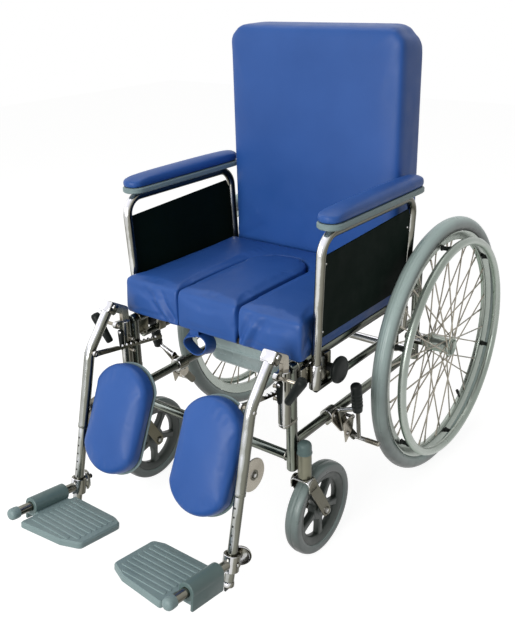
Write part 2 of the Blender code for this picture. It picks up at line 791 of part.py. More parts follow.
def seat_board():
    half = APERTURE_HALF_W
    oval = (arc((0, APERTURE_REAR_Y - half), half, 0, math.pi, 9)
            + arc((0, APERTURE_FRONT_Y + half), half, math.pi, 2 * math.pi, 9))
    corners = [(-BOARD_HALF_W, BOARD_FRONT_Y), (BOARD_HALF_W, BOARD_FRONT_Y),
               (BOARD_HALF_W, BOARD_REAR_Y), (-BOARD_HALF_W, BOARD_REAR_Y)]
    panel = plate([corners, oval], BOARD_T, level_plane(BOARD_Z + BOARD_T / 2))
    runners = []
    bottom = BOARD_Z - RUNNER_DROP
    front, rear = PAN_FRONT_Y - RUNNER_OVER, PAN_REAR_Y + RUNNER_OVER
    for side in (1, -1):
        web = sorted((side * RUNNER_X, side * (RUNNER_X + RUNNER_T)))
        lip = sorted((side * (RUNNER_X - RUNNER_LIP), side * (RUNNER_X + RUNNER_T)))
        runners.append(box((web[0], front + 0.001, bottom + 0.001), (web[1], rear - 0.001, BOARD_Z + 0.002)))
        runners.append(box((lip[0], front, bottom), (lip[1], rear, bottom + RUNNER_T)))
    relief_half = STRAP_D / 2 + STRAP_RELIEF
    relief = box((STRAP_X - relief_half, SEAT_FRONT_Y, 0),
                 (STRAP_X + relief_half, strap_rear_y() + STRAP_RELIEF, BOARD_Z + 2 * BOARD_T))
    return cut(fuse(panel, *runners), relief)


def tapered_box(top_low, top_high, floor_low, floor_high, top_z, floor_z):
    shape = bmesh.new()
    bmesh.ops.create_cube(shape, size=2.0)
    for vertex in shape.verts:
        low, high, z = (top_low, top_high, top_z) if vertex.co.z > 0 else (floor_low, floor_high, floor_z)
        vertex.co = (low[0] if vertex.co.x < 0 else high[0], low[1] if vertex.co.y < 0 else high[1], z)
    return from_bmesh(shape)


def commode_pan():
    rim_z = BOARD_Z - RUNNER_DROP + RUNNER_T + GAP
    rim_top = rim_z + PAN_RIM_T
    floor_z = rim_z - PAN_DEPTH
    wall = PAN_WALL
    rim_out = RUNNER_X - 2 * RUN
    rim = box((-rim_out, PAN_FRONT_Y - 0.010, rim_z), (rim_out, PAN_REAR_Y + 0.010, rim_top))
    tub = tapered_box((-PAN_HALF_W, PAN_FRONT_Y), (PAN_HALF_W, PAN_REAR_Y),
                      (-PAN_FLOOR_HALF_W, PAN_FLOOR_FRONT_Y), (PAN_FLOOR_HALF_W, PAN_FLOOR_REAR_Y),
                      rim_z + 0.001, floor_z)
    hollow = tapered_box((-PAN_HALF_W + wall, PAN_FRONT_Y + wall), (PAN_HALF_W - wall, PAN_REAR_Y - wall),
                         (-PAN_FLOOR_HALF_W + wall, PAN_FLOOR_FRONT_Y + wall),
                         (PAN_FLOOR_HALF_W - wall, PAN_FLOOR_REAR_Y - wall), rim_top + 0.001, floor_z + wall)
    return cut(fuse(rim, tub), hollow)


def back_cushion():
    rear = BACK_FRONT_Y + BACK_T
    low = Vector((-BACK_HALF_W, BACK_FRONT_Y, BACK_Z))
    high = Vector((BACK_HALF_W, rear, BACK_TOP))
    inner_x = BACK_HALF_W - BACK_EDGE
    wide_x = 0.45 * BACK_HALF_W
    height = BACK_TOP - BACK_Z

    def reshape(p):
        crown = bulge(p.x, low.x, high.x) * bulge(p.z, low.z, high.z)
        at_corner = p.z > high.z - 0.001 and abs(p.x) > BACK_HALF_W - 0.001
        if p.y < low.y + 0.001:
            p.y += BACK_CROWN * (0.7 - crown)
        if at_corner:
            p.x -= math.copysign(BACK_CORNER, p.x)
            p.z -= BACK_CORNER
        return p

    cuts = ([-inner_x, -wide_x, 0.0, wide_x, inner_x],
            [BACK_FRONT_Y + BACK_EDGE, rear - 0.014],
            [BACK_Z + BACK_EDGE, BACK_Z + 0.34 * height, BACK_Z + 0.68 * height, BACK_TOP - BACK_EDGE])
    return cage(low, high, cuts, reshape)


def back_board():
    inset = BACK_BOARD_INSET
    return box((-BACK_HALF_W + inset, BACK_BOARD_Y, BACK_Z + inset),
               (BACK_HALF_W - inset, BACK_BOARD_Y + BACK_BOARD_T, BACK_TOP - inset), rounding=0.003)


# Rear wheels

def wheel_centre():
    return Vector((WHEEL_X, AXLE_Y, AXLE_Z))


def rear_tyre():
    outer = WHEEL_D / 2
    inner = outer - TYRE_H
    middle = inner + 0.45 * TYRE_H
    crown = [(middle + (outer - middle) * math.sin(t), TYRE_W / 2 * math.cos(t))
             for t in (math.pi * k / 4 for k in range(5))]
    bead = 0.62 * TYRE_W / 2
    profile = crown + [(inner, -bead), (inner, bead)]
    return turned(profile, wheel_centre(), X_AXIS, WHEEL_SEGMENTS, flats=True)


def rim_side(radius):
    """Half the rim's width at a radius: its sides draw in towards the hub."""
    return RIM_W / 2 * (1 - 0.5 * (RIM_OUTER - radius) / RIM_H)


def rear_rim():
    profile = [(RIM_OUTER, rim_side(RIM_OUTER)), (RIM_OUTER, -rim_side(RIM_OUTER)),
               (RIM_INNER, -rim_side(RIM_INNER)), (RIM_INNER, rim_side(RIM_INNER))]
    return turned(profile, wheel_centre(), X_AXIS, WHEEL_SEGMENTS, flats=True)


def hub_barrel():
    bore = AXLE_D / 2 + RUN
    barrel = HUB_BARREL_D / 2
    flange = HUB_FLANGE_D / 2
    profile = [(bore, HUB_OUTBOARD), (barrel - 0.003, HUB_OUTBOARD)]
    for middle in (HUB_FLANGE_SPACING / 2, -HUB_FLANGE_SPACING / 2):
        top = min(middle + HUB_FLANGE_T / 2, HUB_OUTBOARD - 0.0005)
        low = middle - HUB_FLANGE_T / 2
        profile += [(barrel, top), (flange, top - 0.001), (flange, low + 0.001), (barrel, low)]
    profile += [(barrel - 0.003, -HUB_INBOARD), (bore, -HUB_INBOARD)]
    return turned(profile, wheel_centre(), X_AXIS, FINE_SIDES)


def wheel_point(radius, angle, out):
    return wheel_centre() + Vector((out, radius * math.cos(angle), radius * math.sin(angle)))


def rear_hub():
    """The hub with its spokes, which lean alternately and pass each other on the two faces of the flange."""
    spokes = []
    for k in range(SPOKE_COUNT):
        flange = 1 if k % 2 else -1
        lean = 1 if (k // 2) % 2 else -1
        rim_angle = 2 * math.pi * k / SPOKE_COUNT
        start = wheel_point(0.42 * HUB_FLANGE_D, rim_angle + lean * SPOKE_LEAD,
                            flange * HUB_FLANGE_SPACING / 2 + lean * 0.0025)
        end = wheel_point(RIM_INNER - 1.5 * GAP, rim_angle, flange * 0.004 + lean * SPOKE_PASS)
        spokes.append(rod(start, end, SPOKE_D, 3))
    return fuse(hub_barrel(), group(spokes))


def handrim():
    centre_radius = (HANDRIM_D - HANDRIM_TUBE_D) / 2
    tube_radius = HANDRIM_TUBE_D / 2
    section = [(centre_radius + tube_radius * math.sin(t), HANDRIM_OFFSET + tube_radius * math.cos(t))
               for t in (math.pi * k / 3 for k in range(6))]
    ring = turned(section, wheel_centre(), X_AXIS, WHEEL_SEGMENTS)
    foot_radius = min(centre_radius + 0.004, RIM_OUTER - STANDOFF_D)
    foot_out = rim_side(foot_radius + STANDOFF_D / 2) + GAP
    feet = []
    for k in range(STANDOFF_COUNT):
        angle = STANDOFF_PHASE + 2 * math.pi * k / STANDOFF_COUNT
        top = wheel_point(foot_radius, angle, HANDRIM_OFFSET)
        feet.append(rod(wheel_point(foot_radius, angle, foot_out), top, STANDOFF_D, 6))
    return fuse(ring, group(feet))


def rear_axle():
    inner = FRAME_X - AXLE_BOSS_IN - GAP
    outer = WHEEL_X + HUB_OUTBOARD + GAP
    shaft = across((inner - AXLE_HEAD_T / 2, outer + AXLE_HEAD_T / 2), AXLE_Y, AXLE_Z, AXLE_D)
    nut = across((inner - 2 * AXLE_HEAD_T, inner), AXLE_Y, AXLE_Z, AXLE_HEAD_D)
    head = across((outer, outer + AXLE_HEAD_T), AXLE_Y, AXLE_Z, AXLE_HEAD_D)
    return fuse(shaft, nut, head)


# Casters

def caster_cap():
    base = HOUSING_Z + HOUSING_L + GAP
    radius = CAP_D / 2
    dome = [(radius * math.sin(t), base + CAP_H - radius * 0.55 * (1 - math.cos(t)))
            for t in (math.pi / 2 * k / 4 for k in range(5))]
    profile = dome + [(radius, base), (0, base)]
    return turned(profile, Vector((CASTER_X, CASTER_Y, 0)), Z_AXIS, FINE_SIDES, closed=False)


def caster_fork():
    half = CASTER_W / 2 + FORK_SIDE_GAP
    out = half + FORK_T
    head_y = CASTER_Y - CROWN_SHIFT
    crown = box((CASTER_X - out, head_y - FORK_ARM_W / 2, CROWN_Z),
                (CASTER_X + out, head_y + FORK_ARM_W / 2, CROWN_Z + CROWN_T))
    stem = upright(CASTER_X, CASTER_Y, (CROWN_Z + CROWN_T / 2, STEM_TOP), STEM_D)
    axle_place = (CASTER_AXLE_Y, CASTER_AXLE_Z)
    arms = []
    for side in (1, -1):
        outline = bar_outline((head_y, CROWN_Z - 2 * CROWN_T), FORK_ARM_W - 0.001, axle_place, FORK_ARM_W)
        arms.append(plate([outline], FORK_T, side_plane(CASTER_X + side * (half + FORK_T / 2))))
    axle_half = out + CASTER_AXLE_END
    axle = across((CASTER_X - axle_half, CASTER_X + axle_half), *axle_place, CASTER_AXLE_D)
    return fuse(crown, stem, *arms, axle)


def caster_centre():
    return Vector((CASTER_X, CASTER_AXLE_Y, CASTER_AXLE_Z))


def caster_wheel():
    step = 2 * math.pi / CASTER_SEGMENTS
    widen = 1 / math.cos(step / 2)
    outer = circle((0, 0), (CASTER_RIM_D / 2 - GAP) * widen, CASTER_SEGMENTS, step / 2)
    bore = circle((0, 0), (CASTER_AXLE_D / 2 + RUN) / math.cos(math.pi / TUBE_SIDES), TUBE_SIDES)
    windows = []
    inner_r, outer_r = CASTER_HUB_D / 2, CASTER_WINDOW_D / 2
    share = math.pi / CASTER_SPOKES
    for k in range(CASTER_SPOKES):
        middle = math.pi / 2 + 2 * share * k
        wide = share - math.asin(CASTER_SPOKE_W / 2 / outer_r)
        narrow = share - math.asin(CASTER_SPOKE_W / 2 / inner_r)
        windows.append(arc((0, 0), outer_r, middle - wide, middle + wide, 6)
                       + arc((0, 0), inner_r, middle + narrow, middle - narrow, 3))
    return plate([outer, bore] + windows, CASTER_W - 0.006, frame_of(caster_centre(), Y_AXIS, Z_AXIS))


def caster_tyre():
    outer, inner, half = CASTER_D / 2, CASTER_RIM_D / 2, CASTER_W / 2
    crown = [(outer - 0.30 * half * (1 - math.sin(t)), half * math.cos(t))
             for t in (math.pi * k / 4 for k in range(5))]
    profile = crown + [(inner, -half * 0.85), (inner, half * 0.85)]
    return turned(profile, caster_centre(), X_AXIS, CASTER_SEGMENTS, flats=True)


# Armrests

def arm_tube():
    corners = [arm_point(ARM_FRONT_Y, ARM_FOOT_Z), arm_point(ARM_FRONT_Y, ARM_TOP_Z),
               arm_point(ARM_REAR_Y, ARM_TOP_Z), arm_point(ARM_REAR_Y, ARM_FOOT_Z)]
    return tube(corners, ARM_D, ARM_BEND)


def side_panel():
    """The panel between the posts: its top rises to the rear, and its rear corner clears the tube's bend."""
    front = ARM_FRONT_Y + ARM_D / 2 + GAP
    rear = ARM_REAR_Y - ARM_D / 2 - GAP
    top = PANEL_H + PANEL_RISE
    corner = [(rear, top - 2 * PANEL_CORNER), (rear - PANEL_CORNER, top)]
    outline = [(front, 0), (rear, 0)] + corner + [(front, PANEL_H)]
    return plate([outline], PANEL_T, frame_of(arm_point(0, PANEL_Z), Y_AXIS, ARM_AXIS))


def arm_pad_ends():
    x = arm_point(0, ARM_TOP_Z).x
    return (x, ARM_PAD_FRONT_Y + ARM_PAD_W / 2), (x, ARM_PAD_REAR_Y - ARM_PAD_W / 2)


def armrest_base():
    front, rear = arm_pad_ends()
    z = ARM_TOP_Z + ARM_D / 2 + GAP + ARM_BASE_T / 2
    return plate([bar_outline(front, ARM_PAD_W, rear, ARM_PAD_W)], ARM_BASE_T, level_plane(z))


def stadium(u, v, half_w, half_l):
    """Bend the two ends of a rectangle of points into half circles."""
    straight = half_l - half_w
    over = abs(v) - straight
    if over <= 0:
        return u, v
    a, b = u / half_w, over / half_w
    return u * math.sqrt(1 - b * b / 2), math.copysign(straight + over * math.sqrt(1 - a * a / 2), v)


def armrest_pad():
    front, rear = arm_pad_ends()
    half_w = ARM_PAD_W / 2 - 0.001
    half_l = (rear[1] - front[1]) / 2 + half_w
    z = ARM_TOP_Z + ARM_D / 2 + ARM_BASE_T + 2 * GAP
    middle = Vector((front[0], (front[1] + rear[1]) / 2, z))

    def reshape(p):
        crown = bulge(p.x, -half_w, half_w)
        p.x, p.y = stadium(p.x, p.y, half_w, half_l)
        if p.z > ARM_PAD_T - 0.001:
            p.z -= 0.006 * (1 - crown)
        return p

    cuts = ([-0.45 * half_w, 0.45 * half_w],
            [-half_l + half_w * k for k in (0.4, 1.0)] + [half_l - half_w * k for k in (1.0, 0.4)],
            [ARM_PAD_T - 0.010])
    place = Matrix.Translation(middle)
    return cage((-half_w, -half_l, 0), (half_w, half_l, ARM_PAD_T), cuts, reshape, place=place)


def arm_knob():
    face = KNOB_LUG_X + GAP
    stud, boss, rim = KNOB_STUD_D / 2, KNOB_BOSS_D / 2, KNOB_D / 2
    top = face + KNOB_STANDOFF + KNOB_T
    under = face + KNOB_STANDOFF
    profile = [(0, top), (rim - 0.004, top), (rim, top - 0.004), (rim, under + 0.003), (rim - 0.003, under),
               (boss, under), (boss, face), (stud, face), (stud, face - 0.006), (0, face - 0.006)]
    return turned(profile, Vector((0, KNOB_Y, KNOB_Z)), X_AXIS, FINE_SIDES, closed=False)


# Parking brakes

def brake_bracket():
    half = BRAKE_RING_L / 2
    band = fore_and_aft(FRAME_X, (BRAKE_Y - half, BRAKE_Y + half), LOW_RAIL_Z, BRAKE_RING_D)
    plate_x = FRAME_X + BRAKE_RING_D / 2 - 0.001
    pivot = (BRAKE_PIVOT_Y, BRAKE_PIVOT_Z)
    outline = bar_outline((BRAKE_Y, LOW_RAIL_Z), BRAKE_RING_D, pivot, BRAKE_EYE_D)
    cheek = plate([outline], BRAKE_PLATE_T, side_plane(plate_x))
    pin = across((plate_x, BRAKE_LEVER_X + BRAKE_LEVER_T + BRAKE_LEVER_GAP), *pivot, BRAKE_PIN_D)
    rail_ends = (BRAKE_Y - BRAKE_RING_L, BRAKE_Y + BRAKE_RING_L)
    rail_bore = fore_and_aft(FRAME_X, rail_ends, LOW_RAIL_Z, LOW_RAIL_D + 2 * GAP, hole)
    return cut(fuse(band, cheek, pin), rail_bore)


def brake_lever():
    middle = BRAKE_LEVER_X + BRAKE_LEVER_T / 2
    pivot = (BRAKE_PIVOT_Y, BRAKE_PIVOT_Z)
    elbow = (GRIP_FOOT[0] + 0.004, GRIP_FOOT[1] - 0.014)
    plane = side_plane(middle)
    upper = plate([bar_outline(pivot, BRAKE_ARM_W, elbow, 0.65 * BRAKE_ARM_W)], BRAKE_LEVER_T, plane)
    lower_outline = bar_outline(pivot, 0.9 * BRAKE_ARM_W, (SHOE_Y, SHOE_Z), 0.8 * BRAKE_ARM_W)
    lower = plate([lower_outline], BRAKE_LEVER_T, plane)
    arm = rod((middle, *elbow), (GRIP_X, GRIP_FOOT[0], GRIP_FOOT[1] + 0.006), SHOE_D)
    grip = rod((GRIP_X, *GRIP_FOOT), (GRIP_X, *GRIP_TOP), GRIP_D)
    shoe = across((middle, SHOE_END_X), SHOE_Y, SHOE_Z, SHOE_D)
    bore = across((FRAME_X, GRIP_X), *pivot, BRAKE_PIN_D + 2 * RUN, hole)
    return cut(fuse(upper, lower, arm, grip, shoe), bore)


# Legrests

def upper_leg_direction():
    return (KNEE - ELEVATE).normalized()


def legrest_hanger():
    post = upright(LEG_X, HANGER_Y, (HANGER_Z, HANGER_TOP), HANGER_D)
    plane = side_plane(LEG_X)
    foot = (HANGER_Y + 0.0005, HANGER_TOP - 1.5 * RISER_W)
    bend = (foot[0], ELEVATE_Z - 1.1 * RISER_W)
    column = plate([bar_outline(foot, RISER_W, bend, RISER_W)], RISER_T, plane)
    neck = plate([bar_outline(bend, RISER_W, (ELEVATE_Y, ELEVATE_Z), RISER_W)], RISER_T, plane)
    ear_root = (HANGER_Y, RELEASE_Z - 0.3 * RISER_W)
    ear = plate([bar_outline(ear_root, RISER_W, (RELEASE_Y, RELEASE_Z), 0.8 * RISER_W)], RISER_T, plane)
    inner = LEG_X - RATCHET_PIN_L
    guides = [across((LEG_X, inner), HANGER_Y, GUIDE_Z + offset, RATCHET_PIN_D)
              for offset in (GUIDE_SPREAD, -GUIDE_SPREAD)]
    whole = fuse(post, column, neck, ear, *guides)
    ends = (LEG_X - 2 * RISER_T, LEG_X + 2 * RISER_T)
    bore_ends = (HANGER_Z - 0.01, HINGE_PIN_TOP + 0.001)
    pin_bore = upright(LEG_X, HANGER_Y, bore_ends, HINGE_PIN_D + 2 * RUN, hole)
    eye = across(ends, ELEVATE_Y, ELEVATE_Z, ELEVATE_PIN_D + 2 * RUN, hole)
    shaft_bore = across(ends, RELEASE_Y, RELEASE_Z, RELEASE_SHAFT_D + 2 * RUN, hole)
    return cut(whole, pin_bore, eye, shaft_bore)


def leg_tube():
    """The bent tube, its slotted clevis and pin at the top, the ratchet's pin and the calf pad's disc."""
    down = upper_leg_direction()
    rear = Vector((0, -down.z, down.y))
    foot = KNEE + LEG_DOWN * LEG_L
    bent = tube([ELEVATE + down * 0.006, KNEE, foot], LEG_D, KNEE_BEND)
    turn = frame_of((0, 0, 0), X_AXIS, rear)
    half = Vector((CLEVIS_W, CLEVIS_T, CLEVIS_L)) / 2
    block = box(ELEVATE - half, ELEVATE + half, turn, 0.004)
    disc = plate([circle((CALF_PIVOT.y, CALF_PIVOT.z), CALF_DISC_D / 2, 16)], CALF_DISC_T, side_plane(LEG_X))
    ratchet_pin = across((LEG_X, LEG_X - RATCHET_PIN_L), KNEE_Y, KNEE_Z, RATCHET_PIN_D)
    whole = fuse(bent, block, disc, ratchet_pin)
    slot_low = Vector((-RISER_T / 2 - RUN, -0.4 * CLEVIS_T, -CLEVIS_L))
    slot_high = Vector((RISER_T / 2 + RUN, 1.1 * CLEVIS_T, 0.42 * CLEVIS_L))
    middle = ELEVATE + rear * (slot_low.y + slot_high.y) / 2 - down * -(slot_low.z + slot_high.z) / 2
    size = (slot_high - slot_low) / 2
    slot = box(middle - size, middle + size, turn)
    pin_half = CLEVIS_W / 2 + 0.003
    pin = across((LEG_X - pin_half, LEG_X + pin_half), ELEVATE_Y, ELEVATE_Z, ELEVATE_PIN_D)
    return fuse(cut(whole, slot), pin)


def ratchet_start():
    return KNEE - X_AXIS * RATCHET_OFFSET


def ratchet_bar():
    start = ratchet_start()
    aim = Vector((start.x, HANGER_Y, GUIDE_Z))
    end = start + (aim - start).normalized() * RATCHET_L
    outline = bar_outline((start.y, start.z), 1.4 * RATCHET_H, (end.y, end.z), RATCHET_H)
    bar = plate([outline], RATCHET_T, side_plane(start.x))
    bore = across((start.x - 0.01, start.x + 0.01), KNEE_Y, KNEE_Z, RATCHET_PIN_D + 2 * RUN, hole)
    return cut(bar, bore)


def release_lever():
    inner = LEG_X - RISER_T / 2 - 0.002
    shaft = across((inner, LEG_X + RELEASE_OUT), RELEASE_Y, RELEASE_Z, RELEASE_SHAFT_D)
    pivot = Vector((LEG_X, RELEASE_Y, RELEASE_Z))
    foot, tip = pivot + Vector(RELEASE_FOOT), pivot + Vector(RELEASE_TIP)
    handle = rod(foot, tip, RELEASE_FOOT_D, TUBE_SIDES, RELEASE_TIP_D)
    return fuse(shaft, handle)


def latch_plane_y():
    return HANGER_Y - HANGER_D / 2 - GAP - LATCH_T / 2


def latch_lever():
    """The black swing-away latch on the front of the hanger's post."""
    outline = bar_outline((LEG_X, LATCH_Z), LATCH_W, (LEG_X, LATCH_Z - LATCH_L), LATCH_W * 0.7)
    return plate([outline], LATCH_T, frame_of((0, latch_plane_y(), 0), X_AXIS, Z_AXIS))


def calf_place(back):
    """The calf pad's own frame: x across, y back, z up, leaning a little more than the leg."""
    lean = Matrix.Rotation(-CALF_LEAN, 4, X_AXIS)
    centre = Vector((CALF_X, KNEE.y, KNEE.z)) + LEG_DOWN * CALF_ALONG
    matrix = Matrix((X_AXIS, LEG_BACK, -LEG_DOWN)).transposed().to_4x4()
    return Matrix.Translation(centre) @ lean @ matrix @ Matrix.Translation((0, back, 0))


def calf_end(u, half_w, half_l):
    """How far the pad reaches up at a distance from its middle line: its ends are parts of an ellipse."""
    drop = 1 - math.sqrt(1 - (CALF_ROUND_RATIO * u / half_w) ** 2)
    return half_l - CALF_SAG * drop / (1 - math.sqrt(1 - CALF_ROUND_RATIO ** 2))


def calf_pad():
    half_w, half_l = CALF_W / 2, CALF_L / 2

    def reshape(p):
        rim = bulge(p.x, -half_w, half_w) * bulge(p.z, -half_l, half_l)
        p.z *= calf_end(p.x, half_w, half_l) / half_l
        if p.y < 0.001:
            p.y += 0.010 * (1 - rim)
        return p

    cuts = ([-0.55 * half_w, 0.55 * half_w], [CALF_T - 0.012],
            [-half_l + half_w * k for k in (0.3, 1.0)] + [half_l - half_w * k for k in (1.0, 0.3)])
    place = calf_place(-CALF_PROUD)
    return cage((-half_w, 0, -half_l), (half_w, CALF_T, half_l), cuts, reshape, place=place)


def calf_shell():
    half_w, half_l = CALF_W / 2 - 0.002, CALF_L / 2 - 0.002
    back = CALF_T - CALF_PROUD + GAP
    upper = [(half_w * (1 - k / 4), calf_end(half_w * (1 - k / 4), half_w, half_l)) for k in range(9)]
    outline = upper + [(-u, -v) for u, v in upper]
    place = calf_place(back + CALF_SHELL_T / 2) @ frame_of((0, 0, 0), X_AXIS, Z_AXIS)
    shell = plate([outline], CALF_SHELL_T, place)
    arm_end = Vector((LEG_X - CALF_DISC_T / 2 - GAP, CALF_PIVOT.y, CALF_PIVOT.z))
    arm = rod(arm_end - X_AXIS * (LEG_X - CALF_X), arm_end, CALF_ARM_D)
    return fuse(shell, arm)


def foot_tube():
    collar = rod(FOOT - LEG_DOWN * FOOT_COLLAR_L / 2, FOOT + LEG_DOWN * FOOT_COLLAR_L / 2, FOOT_COLLAR_D)
    end = FOOT + FOOT_AHEAD * FOOT_TUBE_L
    bar = rod(FOOT, end, FOOT_TUBE_D)
    cap = rod(end - FOOT_AHEAD * FOOT_CAP_L * 0.7, end + FOOT_AHEAD * FOOT_CAP_L * 0.3, FOOT_CAP_D)
    cup_centre = FOOT + LEG_BACK * FOOT_CUP_BACK
    cup = rod(cup_centre - X_AXIS * FOOT_CUP_W / 2, cup_centre + X_AXIS * FOOT_CUP_W / 2, FOOT_CUP_D)
    bore = hole(FOOT - LEG_DOWN * 0.05, FOOT + LEG_DOWN * 0.05, LEG_D + 2 * RUN)
    return cut(fuse(collar, bar, cap, cup), bore)


def foot_box(low, high):
    """A box in the footplate's frame: x across, y ahead along the tube, z up from it."""
    low, high = Vector(low), Vector(high)
    turn = Matrix((-X_AXIS, FOOT_AHEAD, FOOT_UP)).transposed().to_4x4()
    middle = FOOT + turn.to_3x3() @ ((low + high) / 2)
    half = (high - low) / 2
    return box(middle - half, middle + half, turn)


def footplate():
    inner = PLATE_REACH
    outer = BARREL_SKIRT_T / 2 - BARREL_D / 2
    front = PLATE_END - PLATE_SLANT
    root_start, root_end = BARREL_START + 0.0005, BARREL_END - 0.0005
    rear_cut, front_cut = PLATE_REAR_CHAMFER, PLATE_FRONT_CHAMFER
    outline = [(PLATE_EDGE, PLATE_START), (inner - rear_cut[0], PLATE_START),
               (inner, PLATE_START + rear_cut[1]), (inner, front - front_cut[1]),
               (inner - front_cut[0], front), (PLATE_EDGE, PLATE_END), (PLATE_EDGE, root_end),
               (outer, root_end), (outer, root_start), (PLATE_EDGE, root_start)]
    place = frame_of(FOOT - FOOT_UP * (PLATE_DROP + PLATE_T / 2), -X_AXIS, FOOT_AHEAD)
    tread = plate([outline], PLATE_T, place)
    barrel = rod(FOOT + FOOT_AHEAD * BARREL_START, FOOT + FOOT_AHEAD * BARREL_END, BARREL_D)
    skirt = foot_box((-BARREL_D / 2, BARREL_START + 0.0002, -BARREL_SKIRT),
                     (BARREL_SKIRT_T - BARREL_D / 2, BARREL_END - 0.0002, -0.001))
    bore = hole(FOOT, FOOT + FOOT_AHEAD * (BARREL_END + 0.05), FOOT_TUBE_D + 2 * RUN)
    return cut(fuse(tread, barrel, skirt), bore)


# Assembly

def assemble():
    root = joint_empty("chair", (0, 0, 0), Z_AXIS)
    shared = [("front_cross_tube", front_cross_tube, "chrome"), ("back_frame", back_frame, "chrome"),
              ("seat_board", seat_board, "board"), ("seat_cushion", seat_cushion, "blue_vinyl"),
              ("back_cushion", back_cushion, "blue_vinyl"), ("back_board", back_board, "board")]
    for name, make, finish in shared:
        finished(make(), name, finish, root)
    lift = joint_empty("seat_plug_lift", (0, SEAT_FRONT_Y, SEAT_TOP), Z_AXIS, root)
    finished(seat_plug(), "seat_plug", "blue_vinyl", lift)
    slide = joint_empty("commode_pan_slide", (0, PAN_REAR_Y, BOARD_Z - RUNNER_DROP), Y_AXIS, root)
    finished(commode_pan(), "commode_pan", "pan_plastic", slide)

    sided = {
        "chair": [("side_frame", side_frame, "chrome"), ("caster_cap", caster_cap, "grey_plastic"),
                  ("rear_axle", rear_axle, "chrome"), ("brake_bracket", brake_bracket, "chrome")],
        "wheel_spin": [("rear_tyre", rear_tyre, "grey_rubber"), ("rear_rim", rear_rim, "aluminium"),
                       ("rear_hub", rear_hub, "chrome"), ("handrim", handrim, "aluminium")],
        "caster_swivel": [("caster_fork", caster_fork, "chrome")],
        "caster_spin": [("caster_wheel", caster_wheel, "grey_plastic"),
                        ("caster_tyre", caster_tyre, "grey_rubber")],
        "armrest_lift": [("arm_tube", arm_tube, "chrome"), ("side_panel", side_panel, "black_plastic"),
                         ("armrest_base", armrest_base, "grey_plastic"),
                         ("armrest_pad", armrest_pad, "blue_vinyl")],
        "knob_turn": [("arm_knob", arm_knob, "black_plastic")],
        "brake_swing": [("brake_lever", brake_lever, "chrome")],
        "legrest_swing": [("legrest_hanger", legrest_hanger, "chrome")],
        "latch_turn": [("latch_lever", latch_lever, "black_plastic")],
        "release_turn": [("release_lever", release_lever, "grey_plastic")],
        "leg_elevate": [("leg_tube", leg_tube, "chrome")],
        "ratchet_follow": [("ratchet_bar", ratchet_bar, "chrome")],
        "calf_tilt": [("calf_shell", calf_shell, "grey_plastic"), ("calf_pad", calf_pad, "blue_vinyl")],
        "foot_slide": [("foot_tube", foot_tube, "chrome")],
        "foot_flip": [("footplate", footplate, "grey_plastic")],
    }
    joints = [("wheel_spin", "chair", wheel_centre(), X_AXIS),
              ("caster_swivel", "chair", Vector((CASTER_X, CASTER_Y, HOUSING_Z)), Z_AXIS),
              ("caster_spin", "caster_swivel", caster_centre(), X_AXIS),
              ("armrest_lift", "chair", arm_point(ARM_FRONT_Y, ARM_FOOT_Z), ARM_AXIS),
              ("knob_turn", "chair", Vector((KNOB_LUG_X, KNOB_Y, KNOB_Z)), X_AXIS),
              ("brake_swing", "chair", Vector((BRAKE_LEVER_X, BRAKE_PIVOT_Y, BRAKE_PIVOT_Z)), X_AXIS),
              ("legrest_swing", "chair", Vector((LEG_X, HANGER_Y, HANGER_Z)), Z_AXIS),
              ("latch_turn", "legrest_swing", Vector((LEG_X, latch_plane_y(), LATCH_Z)), -Y_AXIS),
              ("release_turn", "legrest_swing", Vector((LEG_X, RELEASE_Y, RELEASE_Z)), X_AXIS),
              ("leg_elevate", "legrest_swing", ELEVATE, -X_AXIS),
              ("ratchet_follow", "leg_elevate", ratchet_start(), X_AXIS),
              ("calf_tilt", "leg_elevate", CALF_PIVOT, X_AXIS),
              ("foot_slide", "leg_elevate", FOOT, -LEG_DOWN),
              ("foot_flip", "foot_slide", FOOT, -FOOT_AHEAD)]
    flip = Matrix.Scale(-1, 4, X_AXIS)
    empties = {"left": {"chair": root}, "right": {"chair": root}}
    for name, parent, place, axis in joints:
        empties["left"][name] = joint_empty("left_" + name, place, axis, empties["left"][parent])
        mirror_axis = flip @ axis if name in ("armrest_lift", "foot_slide") else -(flip @ axis)
        right_parent = empties["right"][parent]
        empties["right"][name] = joint_empty("right_" + name, flip @ place, mirror_axis, right_parent)
    for body, pieces in sided.items():
        for name, make, finish in pieces:
            piece = make()
            finished(mirrored(piece), "right_" + name, finish, empties["right"][body])
            finished(piece, "left_" + name, finish, empties["left"][body])


assemble()
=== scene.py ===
import math

import bmesh
import bpy
import numpy
from mathutils import Matrix, Vector
from mathutils.geometry import tessellate_polygon


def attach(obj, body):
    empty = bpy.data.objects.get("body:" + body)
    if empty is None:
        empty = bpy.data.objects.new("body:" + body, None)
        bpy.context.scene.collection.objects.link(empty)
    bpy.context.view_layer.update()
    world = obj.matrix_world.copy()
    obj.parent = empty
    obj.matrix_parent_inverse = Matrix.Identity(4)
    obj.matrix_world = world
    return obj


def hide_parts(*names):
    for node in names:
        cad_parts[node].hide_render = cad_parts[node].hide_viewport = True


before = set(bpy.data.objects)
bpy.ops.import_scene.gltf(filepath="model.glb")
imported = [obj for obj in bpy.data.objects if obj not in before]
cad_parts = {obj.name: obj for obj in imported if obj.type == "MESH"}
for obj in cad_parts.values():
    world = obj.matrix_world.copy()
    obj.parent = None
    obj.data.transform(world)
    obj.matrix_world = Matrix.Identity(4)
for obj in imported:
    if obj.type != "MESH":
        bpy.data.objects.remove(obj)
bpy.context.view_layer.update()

X, Y, Z = Vector((1, 0, 0)), Vector((0, 1, 0)), Vector((0, 0, 1))

